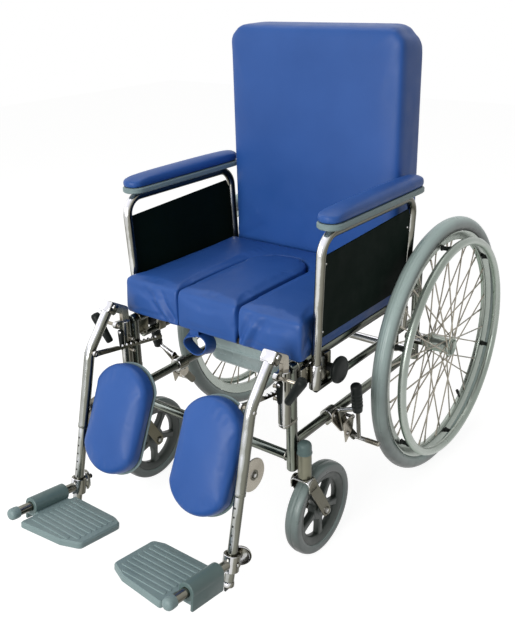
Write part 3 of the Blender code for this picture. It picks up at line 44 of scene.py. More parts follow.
# Places and sizes of the CAD model, in metres, on the sitter's left side
GAP = 0.0003
RAIL_D, UPRIGHT_D, PIN_D, PIN_HOLE_R = 0.0205, 0.0225, 0.0078, 0.0044
FRAME_X, FRONT_Y = 0.212, -0.2215
SEAT_RAIL_Z, MID_RAIL_Z, LOW_RAIL_Z, CROSS_Z = 0.4345, 0.377, 0.271, 0.238
HUB, HUB_INNER = Vector((0.278, 0.2925, 0.305)), 0.0405
TYRE_R, RIM_OUT, RIM_IN = 0.305, 0.2737, 0.2517
VALVE_ANGLE = math.radians(-55)
CASTER = Vector((0.2385, -0.1695, 0.1))
CASTER_Y, CROWN_Z, HOUSING_Z, HOUSING_L = -0.2165, 0.1962, 0.2006, 0.053
ARM_X, ARM_LEAN = 0.2354, math.radians(2.8)
ARM_AXIS = Vector((math.sin(ARM_LEAN), 0, math.cos(ARM_LEAN)))
ARM_FRONT_Y, ARM_REAR_Y, ARM_FOOT_Z, ARM_TOP_Z = -0.176, 0.1745, 0.388, 0.688
ARM_TUBE_R, ARM_BASE_THICK = 0.0095, 0.012
PANEL_Z, PANEL_H, PANEL_RISE = 0.482, 0.1666, 0.0144
KNOB = Vector((0.2325, -0.1235, 0.404))
BRAKE_Y, BRAKE_PIVOT, LEVER_X = -0.085, (-0.0575, 0.235), 0.2325
BRAKE_PLATE_X, BRAKE_SHOE, BRAKE_GRIP_X = FRAME_X + 0.0145, (-0.0225, 0.195), 0.28
LEG_X, HANGER_Y, HANGER_FOOT_Z, HANGER_R = 0.213, -0.24605, 0.328, 0.0125
ELEVATE = Vector((LEG_X, -0.2835, 0.486))
RELEASE = Vector((LEG_X, -0.27, 0.437))
KNEE = Vector((LEG_X, -0.3492, 0.405))
LEG_LEAN = math.radians(13.92)
DOWN = Vector((0, -math.sin(LEG_LEAN), -math.cos(LEG_LEAN)))
BACK = Vector((0, math.cos(LEG_LEAN), -math.sin(LEG_LEAN)))
CALF_PIVOT = KNEE + DOWN * 0.134 + BACK * 0.0356
CALF_X, CALF_HALF_W, CALF_HALF_L, CALF_SAG, CALF_ROUND = 0.1215, 0.0688, 0.117, 0.045, 0.94
CALF_THICK, CALF_PROUD, CALF_LEAN, CALF_ALONG = 0.04, 0.0147, math.radians(10), 0.119
FOOT = KNEE + DOWN * 0.298
FOOT_RISE, PLATE_DROP = math.radians(8.5), 0.0085
AHEAD = Vector((0, -math.cos(FOOT_RISE), math.sin(FOOT_RISE)))
FOOT_UP = Vector((0, math.sin(FOOT_RISE), math.cos(FOOT_RISE)))
SEAT_FRONT_Y, SEAT_REAR_Y, SEAT_LOW, SEAT_TOP = -0.2225, 0.15, 0.4463, 0.535
SEAT_INSET, SEAT_FREE_Z = 0.0015, 0.462
PLUG_HALF_W, PLUG_REAR_Y = 0.0785, 0.085
BACK_FRONT_Y, BACK_REAR_Y, BACK_LOW, BACK_TOP, BACK_HALF_W = 0.1525, 0.2445, 0.5, 1.026, 0.2205

# Edges that turn by more than this many degrees stay sharp
SHARP = 38


def shown(name, data):
    """A new object in the scene."""
    obj = bpy.data.objects.new(name, data)
    bpy.context.scene.collection.objects.link(obj)
    return obj


# Shader nodes

def wire(tree, target, inputs):
    """Set a node's inputs to values, or join them to a socket or to a node's first output."""
    for key, value in inputs.items():
        source = value.outputs[0] if isinstance(value, bpy.types.Node) else value
        if isinstance(source, bpy.types.NodeSocket):
            tree.links.new(source, target.inputs[key])
        else:
            target.inputs[key].default_value = source


def node(tree, kind, inputs=None, **settings):
    made = tree.nodes.new("ShaderNode" + kind)
    for key, value in settings.items():
        setattr(made, key, value)
    wire(tree, made, inputs or {})
    return made


def blank_material(name):
    made = bpy.data.materials.new(name)
    made.use_nodes = True
    return made, made.node_tree


def seen_directly(tree):
    """One where the ray comes from the camera, a mirror or glass."""
    path = node(tree, "LightPath")
    value = path.outputs["Is Camera Ray"]
    for name in ("Is Glossy Ray", "Is Transmission Ray"):
        value = node(tree, "Math", {0: value, 1: path.outputs[name]}, operation="MAXIMUM")
    return value


# Camera, light and floor

WHITE = (1, 1, 1, 1)
# Each lamp: name, place, aim, size in metres and power in watts
LAMPS = (("key", (0.15, -2.7, 1.25), (0, 0, 0.55), 1.6, 52),
         ("top", (-0.4, 0.2, 2.7), (0, 0, 0.4), 2.0, 14),
         ("left", (-2.2, -0.9, 1.3), (0, 0, 0.5), 1.6, 6))


def studio():
    scene = bpy.context.scene
    scene.view_settings.view_transform = "Standard"
    lens = bpy.data.cameras.new("camera")
    lens.lens, lens.sensor_width = 46.03, 36
    lens.shift_x, lens.shift_y = -0.01712, -0.00592
    scene.camera = shown("camera", lens)
    right = Vector((0.79944, 0.60036, -0.02174))
    up = Vector((-0.21337, 0.31757, 0.92392))
    ahead = Vector((-0.56158, 0.73397, -0.38198))
    turn = Matrix((right, up, -ahead)).transposed().to_4x4()
    scene.camera.matrix_world = Matrix.Translation((1.0025, -1.3215, 1.117)) @ turn
    for name, place, aim, size, power in LAMPS:
        lamp = bpy.data.lights.new(name, "AREA")
        lamp.size, lamp.energy = size, power
        holder = shown(name, lamp)
        holder.location = place
        holder.rotation_euler = (Vector(aim) - Vector(place)).to_track_quat("-Z", "Y").to_euler()
    world = bpy.data.worlds.new("world")
    scene.world = world
    world.use_nodes = True
    tree = world.node_tree
    soft = tree.nodes["Background"]
    wire(tree, soft, {"Color": WHITE, "Strength": 0.3})
    plain = node(tree, "Background", {"Color": WHITE, "Strength": 1.0})
    mix = node(tree, "MixShader", {0: seen_directly(tree), 1: soft, 2: plain})
    wire(tree, tree.nodes["World Output"], {"Surface": mix})
    mesh = bpy.data.meshes.new("floor")
    reach, low = 6.0, -0.0002
    mesh.from_pydata([(x, y, low) for x, y in box(-reach, -reach, reach, reach)], [], [(0, 1, 2, 3)])
    floor = shown("floor", mesh)
    mesh.materials.append(floor_material())


def floor_material():
    made, tree = blank_material("floor")
    tree.nodes.remove(tree.nodes["Principled BSDF"])
    diffuse = node(tree, "BsdfDiffuse", {"Color": (0.34, 0.34, 0.335, 1)})
    glow = node(tree, "Emission", {"Strength": 0.88})
    bright = node(tree, "AddShader", {0: diffuse, 1: glow})
    mix = node(tree, "MixShader", {0: seen_directly(tree), 1: diffuse, 2: bright})
    wire(tree, tree.nodes["Material Output"], {"Surface": mix})
    return made


# Materials

MATERIALS = {}


def tones(*numbers):
    """Stops of a colour ramp, four numbers each: place, red, green and blue."""
    return [(numbers[k], numbers[k + 1:k + 4]) for k in range(0, len(numbers), 4)]


def ramp(tree, source, stops):
    made = node(tree, "ValToRGB", {"Fac": source})
    points = made.color_ramp.elements
    while len(points) < len(stops):
        points.new(0.5)
    for point, (place, colour) in zip(points, stops):
        point.position, point.color = place, (*colour, 1)
    return made


def noise_of(tree, spot, scale, stretch=(1, 1, 1), detail=4.0):
    place = node(tree, "Mapping", {"Scale": stretch, "Vector": spot})
    return node(tree, "TexNoise", {"Scale": scale, "Detail": detail, "Vector": place})


def between(tree, noise, low, high):
    """Noise spread over the range from low to high."""
    return node(tree, "MapRange", {"From Min": 0.3, "From Max": 0.7, "To Min": low, "To Max": high,
                                   "Value": noise})


def facing(tree, spot, direction, wobble=0.03):
    """How far the surface turns to a fixed direction in the room, from 0 to 1, a little uneven: the source of
    the painted light, shade and reflections in the colour ramps.
    """
    normal = node(tree, "NewGeometry").outputs["Normal"]
    aim = Vector(direction).normalized()
    dot = node(tree, "VectorMath", {0: normal, 1: aim}, operation="DOT_PRODUCT")
    spread = node(tree, "MapRange", {"From Min": -1.0, "Value": dot.outputs["Value"]})
    uneven = between(tree, noise_of(tree, spot, 22), -wobble, wobble)
    return node(tree, "Math", {0: spread, 1: uneven}, operation="ADD")


def finish(name, stops, rough, metallic=0.0, scale=14, stretch=(1, 1, 1), grain=0.0, grain_scale=900,
           cells=False, toward=None, specular=0.5):
    """A procedural material: colour by patches, or by facing, which paints light, shade and reflections fixed
    to a direction in the room; uneven gloss and a fine grain.
    """
    made, tree = blank_material(name)
    shader = tree.nodes["Principled BSDF"]
    spot = node(tree, "TexCoord").outputs["Object"]
    source = facing(tree, spot, toward) if toward else noise_of(tree, spot, scale, stretch)
    gloss = between(tree, noise_of(tree, spot, 3 * scale, stretch), *rough)
    wire(tree, shader, {"Base Color": ramp(tree, source, stops), "Roughness": gloss, "Metallic": metallic,
                        "Specular IOR Level": specular})
    if grain:
        if cells:
            pattern = node(tree, "TexVoronoi", {"Scale": grain_scale, "Vector": spot})
        else:
            pattern = noise_of(tree, spot, grain_scale, stretch, 2.0)
        bump = node(tree, "Bump", {"Strength": grain, "Distance": 0.0004, "Height": pattern})
        wire(tree, shader, {"Normal": bump})
    MATERIALS[name] = made


# Directions in the room that the facing ramps paint light toward: the chrome's painted reflection streaks,
# the tyres' painted lit top and shaded underside, and the rims' painted reflection.
PAINTED_REFLECTION_SIDE, RUBBER_PAINTED_LIGHT_SIDE, RIM_PAINTED_REFLECTION_SIDE = (0.15, -0.7, 0.7), (0.2, -0.35, 0.92), (0.62, -0.45, 0.64)
# The rubber's tones by facing are painted light and shade: pale where the tyre faces up and forward, dark
# underneath.
RUBBER_PAINTED_LIGHT_TONES = tones(0.0, 0.06, 0.07, 0.066, 0.32, 0.08, 0.09, 0.085, 0.46, 0.14, 0.165, 0.156,
                     0.58, 0.28, 0.34, 0.32, 0.7, 0.4, 0.5, 0.48, 0.9, 0.54, 0.68, 0.645,
                     1.0, 0.58, 0.73, 0.69)
# The caster rubber is the same rubber at 0.44 of its tones: a darker copy that paints the shade low under the
# chair.
CASTER_PAINTED_SHADE_TONES = [(place, tuple(0.44 * c for c in tone)) for place, tone in RUBBER_PAINTED_LIGHT_TONES]
# Chrome: its colour by facing paints the reflections of a room, with dark lines, tan bands and a white
# highlight streak.
finish("chrome", tones(0.0, 0.03, 0.03, 0.025, 0.25, 0.08, 0.08, 0.065, 0.36, 0.17, 0.165, 0.135,
                       0.44, 0.03, 0.035, 0.028, 0.54, 0.12, 0.115, 0.09, 0.62, 0.06, 0.058, 0.045,
                       0.7, 0.16, 0.155, 0.125, 0.8, 0.215, 0.21, 0.175, 0.832, 0.25, 0.25, 0.215,
                       0.85, 0.52, 0.52, 0.5, 0.91, 0.6, 0.6, 0.61, 0.95, 0.78, 0.78, 0.82,
                       1.0, 0.9, 0.9, 0.97), (0.1, 0.2), 1.0, toward=PAINTED_REFLECTION_SIDE)
# A copy of the chrome for the leg tubes, its painted highlight streak narrower and placed for them: painted
# reflection.
finish("chrome_leg", tones(0.0, 0.03, 0.03, 0.025, 0.3, 0.1, 0.1, 0.085, 0.42, 0.2, 0.2, 0.165,
                           0.52, 0.06, 0.06, 0.05, 0.64, 0.1, 0.1, 0.08, 0.74, 0.17, 0.172, 0.14,
                           0.84, 0.19, 0.192, 0.16, 0.885, 0.2, 0.205, 0.175, 0.905, 0.36, 0.37, 0.35,
                           0.935, 0.4, 0.41, 0.4, 0.955, 0.55, 0.56, 0.59, 0.975, 0.8, 0.8, 0.87,
                           1.0, 0.84, 0.84, 0.93), (0.14, 0.24), 1.0, toward=PAINTED_REFLECTION_SIDE)
# A darker copy of the chrome for the lower frame tubes and cross tubes: painted shade from under the seat,
# with dimmer painted reflection streaks.
finish("chrome_low_painted_shade", tones(0.0, 0.03, 0.03, 0.025, 0.3, 0.06, 0.06, 0.05, 0.4, 0.15, 0.15, 0.135,
                           0.48, 0.04, 0.042, 0.036, 0.58, 0.085, 0.085, 0.072, 0.66, 0.05, 0.05, 0.042,
                           0.74, 0.13, 0.142, 0.116, 0.82, 0.165, 0.18, 0.145, 0.855, 0.25, 0.272, 0.232,
                           0.89, 0.12, 0.13, 0.107, 0.93, 0.05, 0.056, 0.047, 0.965, 0.24, 0.27, 0.25,
                           1.0, 0.36, 0.4, 0.375), (0.12, 0.22), 1.0, toward=PAINTED_REFLECTION_SIDE)
# A darker copy of the chrome for the fork sides, brackets, weld fillets and some bolts: painted shade, with a
# faint painted reflection by facing.
finish("chrome_painted_shade", tones(0.0, 0.02, 0.02, 0.015, 0.4, 0.07, 0.065, 0.05, 0.55, 0.075, 0.07, 0.045,
                            0.75, 0.15, 0.14, 0.11, 1.0, 0.34, 0.34, 0.31), (0.18, 0.3), 1.0,
       toward=PAINTED_REFLECTION_SIDE)
# The caster housing's chrome: tan, darker at the edges by facing, a painted reflection.
finish("housing", tones(0.3, 0.1, 0.098, 0.07, 0.6, 0.15, 0.147, 0.108, 0.8, 0.2, 0.197, 0.145,
                        0.87, 0.225, 0.22, 0.165), (0.3, 0.42), 1.0, toward=PAINTED_REFLECTION_SIDE)
finish("steel", tones(0.2, 0.29, 0.265, 0.215, 0.8, 0.42, 0.39, 0.33), (0.22, 0.34), 0.9, scale=30)
# Aluminium for the rims, handrims and hub: its colour by facing paints light and dark reflection bands.
finish("aluminium", tones(0.0, 0.09, 0.115, 0.095, 0.35, 0.18, 0.235, 0.19, 0.55, 0.26, 0.325, 0.265,
                          0.75, 0.42, 0.46, 0.42, 1.0, 0.26, 0.3, 0.265), (0.24, 0.36), 0.85,
       toward=RIM_PAINTED_REFLECTION_SIDE, grain=0.06, grain_scale=300)
finish("caster_body", tones(0.25, 0.03, 0.04, 0.034, 0.75, 0.045, 0.056, 0.048), (0.36, 0.5), scale=24,
       grain=0.12, grain_scale=1600)
for rubber, shades in (("rubber", RUBBER_PAINTED_LIGHT_TONES), ("caster_rubber", CASTER_PAINTED_SHADE_TONES)):
    finish(rubber, shades, (0.26, 0.4), scale=18, toward=RUBBER_PAINTED_LIGHT_SIDE, grain=0.1, grain_scale=1300)
finish("plastic", tones(0.25, 0.185, 0.26, 0.262, 0.75, 0.225, 0.305, 0.306), (0.4, 0.54), scale=16,
       grain=0.14, grain_scale=1500)
finish("shade_plastic", tones(0.25, 0.095, 0.15, 0.145, 0.75, 0.12, 0.182, 0.176), (0.38, 0.52), scale=16,
       grain=0.14, grain_scale=1500)
finish("black", tones(0.25, 0.005, 0.008, 0.007, 0.75, 0.012, 0.015, 0.014), (0.36, 0.5), scale=24,
       grain=0.12, grain_scale=1600, specular=0.16)
finish("panel", tones(0.25, 0.002, 0.006, 0.004, 0.75, 0.004, 0.01, 0.007), (0.55, 0.68), scale=10,
       grain=0.16, grain_scale=1100, cells=True, specular=0.04)
finish("vinyl", tones(0.25, 0.018, 0.083, 0.312, 0.75, 0.027, 0.103, 0.366), (0.4, 0.5), scale=9,
       grain=0.16, grain_scale=1000, cells=True, specular=0.36)
finish("dark", tones(0.25, 0.01, 0.011, 0.01, 0.75, 0.022, 0.023, 0.021), (0.5, 0.7), scale=50)
finish("board", tones(0.2, 0.016, 0.014, 0.014, 0.5, 0.026, 0.022, 0.02, 0.8, 0.036, 0.03, 0.026),
       (0.5, 0.66), scale=9, stretch=(9, 1, 1), grain=0.12, grain_scale=160)
finish("back_shell", tones(0.25, 0.012, 0.016, 0.02, 0.75, 0.02, 0.025, 0.03), (0.42, 0.55), scale=10,
       grain=0.2, grain_scale=900, cells=True)
finish("pan", tones(0.25, 0.32, 0.41, 0.405, 0.75, 0.38, 0.47, 0.465), (0.22, 0.32), scale=8,
       grain=0.05, grain_scale=700)


# Outlines and places

def mm(*numbers):
    """Points in metres, from pairs of millimetres."""
    return [(a / 1000, b / 1000) for a, b in zip(numbers[::2], numbers[1::2])]


def box(left, low, right, high):
    return [(left, low), (right, low), (right, high), (left, high)]


def there_and_back(points, middle=()):
    """A profile's half at negative heights, its middle, and the half again at positive heights."""
    return [(r, -x) for r, x in points] + list(middle) + points[::-1]


def quarter(count):
    """Angles over a quarter turn."""
    return [math.pi / 2 * k / count for k in range(count + 1)]


def rounded_path(points, bend, steps=8):
    points = [Vector(p) for p in points]
    path = [points[0]]
    for before, corner, after in zip(points, points[1:], points[2:]):
        to_before, to_after = (before - corner).normalized(), (after - corner).normalized()
        half = to_before.angle(to_after) / 2
        centre = corner + (to_before + to_after).normalized() * (bend / math.sin(half))
        first = corner + to_before * (bend / math.tan(half)) - centre
        last = corner + to_after * (bend / math.tan(half)) - centre
        turn, axis = first.angle(last), first.cross(last).normalized()
        path += [centre + Matrix.Rotation(turn * k / steps, 3, axis) @ first for k in range(steps + 1)]
    return path + [points[-1]]


def arc(centre, radius, start, end, count):
    angles = [start + (end - start) * k / (count - 1) for k in range(count)]
    return [(centre[0] + radius * math.cos(t), centre[1] + radius * math.sin(t)) for t in angles]


def circle(centre, radius, count=32):
    return arc(centre, radius, 0, 2 * math.pi * (count - 1) / count, count)


def bar_outline(a, a_d, b, b_d, count=12):
    """Two round ends and the straight sides that join them."""
    a, b = Vector(a), Vector(b)
    along = math.atan2(b.y - a.y, b.x - a.x)
    spread = math.acos((a_d - b_d) / 2 / (b - a).length)
    return (arc(b, b_d / 2, along - spread, along + spread, count)
            + arc(a, a_d / 2, along + spread, along + 2 * math.pi - spread, count))


def rounded_outline(corners, radius, steps=5):
    """A polygon with each corner rounded, by one radius or by one for each corner."""
    made = []
    count = len(corners)
    for k in range(count):
        before, corner, after = (Vector((*corners[(k + d) % count], 0)) for d in (-1, 0, 1))
        r = radius[k] if isinstance(radius, list) else radius
        made += [(p.x, p.y) for p in rounded_path([before, corner, after], r, steps)[1:-1]]
    return made


def frame_of(origin, u, v):
    return Matrix.Translation(origin) @ Matrix((u, v, u.cross(v))).transposed().to_4x4()


def side_plane(x):
    return frame_of((x, 0, 0), Y, Z)


def level_plane(z):
    return frame_of((0, 0, z), X, Y)


def about(axis):
    """Two directions across an axis."""
    helper = Y if abs(axis.dot(Y)) < 0.9 else Z
    u = (helper - axis * helper.dot(axis)).normalized()
    return u, axis.cross(u)


def wheel_point(radius, angle, out):
    return HUB + Vector((out, radius * math.cos(angle), radius * math.sin(angle)))


def arm_point(y, z):
    return Vector((ARM_X + (z - MID_RAIL_Z) * math.tan(ARM_LEAN), y, z))


# A Shape gathers the parts of one piece

class Shape:
    def __init__(self):
        self.bm = bmesh.new()
        self.materials = []

    def take(self, points, faces, material):
        if material not in self.materials:
            self.materials.append(material)
        made = [self.bm.verts.new(p) for p in points]
        for face in faces:
            corners = [made[k] for k in face]
            if len(set(corners)) > 2:
                self.bm.faces.new(corners).material_index = self.materials.index(material)

    def rings(self, rings, material, closed=False):
        """Loops of points joined in order, with flat ends or closed to a ring."""
        count, total = len(rings[0]), len(rings)
        pairs = [(k, k + 1) for k in range(total - 1)] + ([(total - 1, 0)] if closed else [])
        faces = []
        for a, b in pairs:
            faces += [(a * count + k, a * count + (k + 1) % count, b * count + (k + 1) % count, b * count + k)
                      for k in range(count)]
        if not closed:
            faces.append(tuple(reversed(range(count))))
            faces.append(tuple(range((total - 1) * count, total * count)))
        self.take([p for ring in rings for p in ring], faces, material)

    def sweep(self, path, section, material, start_normal=None):
        """A section (list of (a, b)) or one section per point, carried along a path."""
        tangents = []
        for k in range(len(path)):
            tangents.append((path[min(k + 1, len(path) - 1)] - path[max(k - 1, 0)]).normalized())
        normal = start_normal if start_normal is not None else about(tangents[0])[0]
        rings = []
        for k, place in enumerate(path):
            if k:
                normal = tangents[k - 1].rotation_difference(tangents[k]) @ normal
            normal = (normal - tangents[k] * normal.dot(tangents[k])).normalized()
            side = tangents[k].cross(normal)
            now = section[k] if isinstance(section[0], list) else section
            rings.append([place + normal * a + side * b for a, b in now])
        self.rings(rings, material)

    def tube(self, points, d, material="chrome", bend=0.05, sides=24, steps=9, edge=0.0012):
        """A round bar along points, with bent corners and eased ends."""
        path = rounded_path(points, bend, steps) if len(points) > 2 else [Vector(p) for p in points]
        first, last = (path[1] - path[0]).normalized(), (path[-1] - path[-2]).normalized()
        edge = min(edge, 0.3 * (path[-1] - path[0]).length)
        spots = [path[0], path[0] + first * edge] + path[1:-1] + [path[-1] - last * edge, path[-1]]
        full, eased = circle((0, 0), d / 2, sides), circle((0, 0), d / 2 - edge, sides)
        self.sweep(spots, [eased] + [full] * (len(spots) - 2) + [eased], material)

    def lathe(self, profile, centre, axis, material="chrome", segments=48, closed=False):
        """A profile of (radius, height) turned about an axis."""
        axis = Vector(axis).normalized()
        u, v = about(axis)
        rings = []
        for radius, height in profile:
            radius = max(radius, 0.00002)
            rings.append([Vector(centre) + axis * height + (u * math.cos(t) + v * math.sin(t)) * radius
                          for t in (2 * math.pi * k / segments for k in range(segments))])
        self.rings(rings, material, closed)

    def slab(self, outlines, thickness, place, material="chrome", edge=0.0008):
        """Flat outlines, the first outside and the rest holes, with eased edges."""
        loops, inset = [], []
        for k, outline in enumerate(outlines):
            loop = [Vector((p[0], p[1], 0)) for p in outline]
            area = sum(a.x * b.y - b.x * a.y for a, b in zip(loop, loop[1:] + loop[:1]))
            if (area < 0) != (k > 0):
                loop.reverse()
            loops.append(loop)
        for loop in loops:
            moved = []
            for before, here, after in zip(loop[-1:] + loop[:-1], loop, loop[1:] + loop[:1]):
                a, b = (here - before).normalized(), (after - here).normalized()
                across = Vector((-a.y, a.x, 0))
                n = Vector((-a.y - b.y, a.x + b.x, 0))
                n = n.normalized() if n.length > 1e-6 else across
                moved.append(here + n * edge / max(0.5, n.dot(across)))
            inset.append(moved)
        half = thickness / 2
        points, faces, starts = [], [], []
        for shapes, z in ((inset, -half), (loops, -half + edge), (loops, half - edge), (inset, half)):
            starts.append(len(points))
            points += [p + Z * z for shape in shapes for p in shape]
        for low, high in zip(starts, starts[1:]):
            at = 0
            for loop in loops:
                n = len(loop)
                faces += [(low + at + k, low + at + (k + 1) % n, high + at + (k + 1) % n, high + at + k)
                          for k in range(n)]
                at += n
        for tri in tessellate_polygon(inset):
            faces.append(tuple(starts[3] + k for k in tri))
            faces.append(tuple(starts[0] + k for k in reversed(tri)))
        self.take([place @ p for p in points], faces, material)

    def block(self, low, high, material="chrome", edge=0.0015, turn=None, segments=2):
        """A box with eased edges, turned about its middle."""
        low, high = Vector(low), Vector(high)
        shape = bmesh.new()
        bmesh.ops.create_cube(shape, size=1.0)
        bmesh.ops.scale(shape, vec=high - low, verts=shape.verts)
        bmesh.ops.bevel(shape, geom=shape.edges[:], offset=edge, segments=segments, affect="EDGES",
                        profile=0.5)
        if turn is not None:
            bmesh.ops.rotate(shape, matrix=turn.to_3x3(), verts=shape.verts)
        bmesh.ops.translate(shape, vec=(low + high) / 2, verts=shape.verts)
        shape.verts.index_update()
        faces = [[v.index for v in f.verts] for f in shape.faces]
        self.take([v.co.copy() for v in shape.verts], faces, material)
        shape.free()

    def bolt(self, place, axis, d=0.012, h=0.005, material="chrome"):
        """A hexagon head with a domed top."""
        place = Vector(place)
        hexagon = circle((0, 0), d / 2 * 1.08, 6)
        self.slab([hexagon], 0.7 * h, frame_of(place + axis * 0.35 * h, *about(axis)), material, 0.0005)
        dome = [(0.44 * d, 0.6 * h), (0.36 * d, 0.85 * h), (0.2 * d, h), (0, h * 1.02)]
        self.lathe(dome, place, axis, material, 16)

    def rivet(self, place, axis, d=0.007, h=0.0018, material="chrome"):
        head = [(d / 2, -0.0005), (d / 2, 0.2 * h), (0.38 * d, 0.75 * h), (0.18 * d, h), (0, h * 1.03)]
        self.lathe(head, place, axis, material, 16)

    def weld(self, place, axis, d):
        """The small fillet where a tube meets another."""
        bead = mm(-0.5, -2, 1.2, -1.2, 1.6, 0, 1.0, 1.4, -0.5, 2.2)
        self.lathe([(d / 2 + out, height) for out, height in bead], place, axis, "chrome_painted_shade", 24)

    def mesh(self, name):
        made = bpy.data.meshes.new(name)
        bmesh.ops.recalc_face_normals(self.bm, faces=self.bm.faces)
        self.bm.to_mesh(made)
        self.bm.free()
        for key in self.materials:
            made.materials.append(MATERIALS[key])
        return made

    def place(self, name, body, slot, angle=SHARP):
        """Put the piece in place of its CAD node, or of the left node with its mirror image on the right."""
        pieces = [("", self.mesh(name))]
        if "left_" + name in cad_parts:
            pieces = [("left_", pieces[0][1]), ("right_", mirror_mesh(pieces[0][1]))]
        for side, mesh in pieces:
            mesh.name = side + name + "_look"
            put(mesh, mesh.name, body if body == "chair" else side + body, [side + name], angle)


def put(mesh, name, body, nodes, angle=SHARP):
    mesh.shade_smooth()
    mesh.set_sharp_from_angle(angle=math.radians(angle))
    obj = shown(name, mesh)
    if nodes:
        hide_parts(*nodes)
    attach(obj, body)
    return obj


def mirror_mesh(mesh):
    other = mesh.copy()
    other.transform(Matrix.Scale(-1, 4, X))
    other.flip_normals()
    return other


# Rear wheels

def rear_tyre(shape):
    half_w, wall_r, tread = 0.017, 0.288, 40
    profile = []
    for k in range(tread + 1):
        t = math.pi * (k / tread)
        x = half_w * math.cos(t)
        r = wall_r + (TYRE_R - wall_r) * math.sin(t) ** 0.9
        for groove in (-0.0062, 0.0, 0.0062):
            r -= 0.0007 * math.exp(-((x - groove) / 0.0009) ** 2)
        profile.append((r, x))
    profile += there_and_back(mm(283.5, 16.9, 280, 15.8, 276.2, 12.8, 274.2, 10.8), mm(274, 0))
    shape.lathe(profile, HUB, X, "rubber", 144, closed=True)


def rear_rim(shape):
    well = [(RIM_OUT, -0.012), (RIM_OUT - 0.0006, -0.0112), (RIM_OUT - 0.0022, -0.01)]
    wall = mm(272.2, 12.3, 270, 11.9, 263, 9.6, 256, 7.3, 252.8, 6) + [(RIM_IN, 0.0042)]
    profile = there_and_back(well, [(RIM_OUT - 0.0026, 0.0)]) + there_and_back(wall)
    shape.lathe(profile, HUB, X, "aluminium", 144, closed=True)
    base, shoulder, tip = (wheel_point(RIM_IN + out, VALVE_ANGLE, 0) for out in (0.001, -0.014, -0.031))
    shape.tube([base, tip], 0.0058, "black")
    shape.tube([shoulder, tip], 0.008, "black", edge=0.0014)


def rear_hub(shape):
    bore, barrel, flange_r, outer, spokes = 0.0068, 0.018, 0.024, 0.0345, 36
    flanges = {1: 0.0285, -1: -0.022}
    profile = [(bore, outer - 0.011), (0.015, outer - 0.011), (0.018, outer - 0.0016), (0.0188, outer),
               (0.0202, outer)]
    for middle in flanges.values():
        profile += [(barrel + 0.0016, middle + 0.0042), (flange_r - 0.001, middle + 0.0028),
                    (flange_r, middle + 0.0014), (flange_r, middle - 0.0014),
                    (flange_r - 0.001, middle - 0.0028), (barrel, middle - 0.0046)]
    profile += mm(15, -31, 15, -39) + [(0.0135, -HUB_INNER), (bore, -HUB_INNER)]
    shape.lathe(profile, HUB, X, "aluminium", 48, closed=True)
    # A dark disc in the hub's end recess: painted shade for the hollow.
    shape.lathe(mm(0, 24.5, 13.8, 24.5, 13, 24.9, 0, 24.9), HUB, X, "dark", 32)
    for k in range(spokes):
        flange = 1 if k % 2 else -1
        lean = 1 if (k // 2) % 2 else -1
        angle = 2 * math.pi * k / spokes
        start = wheel_point(0.0205, angle + lean * math.radians(62), flanges[flange] + lean * 0.0025)
        end = wheel_point(RIM_IN - 0.0004, angle, flange * 0.004 + lean * 0.0016)
        nipple = end - (end - start).normalized() * 0.014
        shape.tube([start, end], 0.0035, "steel", sides=8, edge=0.0002)
        shape.tube([nipple, end], 0.0046, "steel", sides=8, edge=0.0006)
        shape.lathe(mm(2.1, -1.4, 2.6, 0, 2.1, 1.4), start, X, "steel", 8)


def handrim(shape):
    ring_r, tube_r, out = 0.2535, 0.0095, 0.036
    shape.lathe(circle((ring_r, out), tube_r, 24), HUB, X, "aluminium", 144, closed=True)
    standoff = mm(0, 10.2, 6.4, 10.2, 7, 11.2, 6.6, 12.8, 5.2, 14.2, 4.8, 20, 5, 25.5, 6.2, 27.5, 6.6, 30,
                  6, 33, 0, 33)
    for k in range(6):
        shape.lathe(standoff, wheel_point(0.2575, math.radians(40 + 60 * k), 0), X, "black", 20)


def rear_axle(shape):
    outer, inner = (Vector((x, HUB.y, HUB.z)) for x in (HUB.x + 0.0268, FRAME_X - 0.0163))
    shape.tube([inner - X * 0.006, outer + X * 0.002], 0.0125, edge=0.0005)
    shape.lathe(mm(10.8, 0, 11, 0.8, 10.6, 2.2, 8, 3.6, 4, 4.2, 0, 4.3), outer, X, "chrome", 32)
    shape.bolt(inner, -X, 0.02, 0.008, "chrome_painted_shade")
    shape.lathe(mm(7, -1.2, 10.8, -1.2, 10.8, 0, 7, 0), inner, X, "chrome", 24)


# Casters

def caster_cap(shape):
    r, high, dome = 0.0145, 0.027, 0.0105
    profile = mm(0, 0, 14.5, 0, 15.7, 0.6, 15.7, 3, 14.5, 4)
    profile += [(r * math.cos(t) ** 0.75, high - dome + dome * math.sin(t)) for t in quarter(9)]
    shape.lathe(profile, (CASTER.x, CASTER_Y, HOUSING_Z + HOUSING_L + GAP), Z, "shade_plastic", 40)


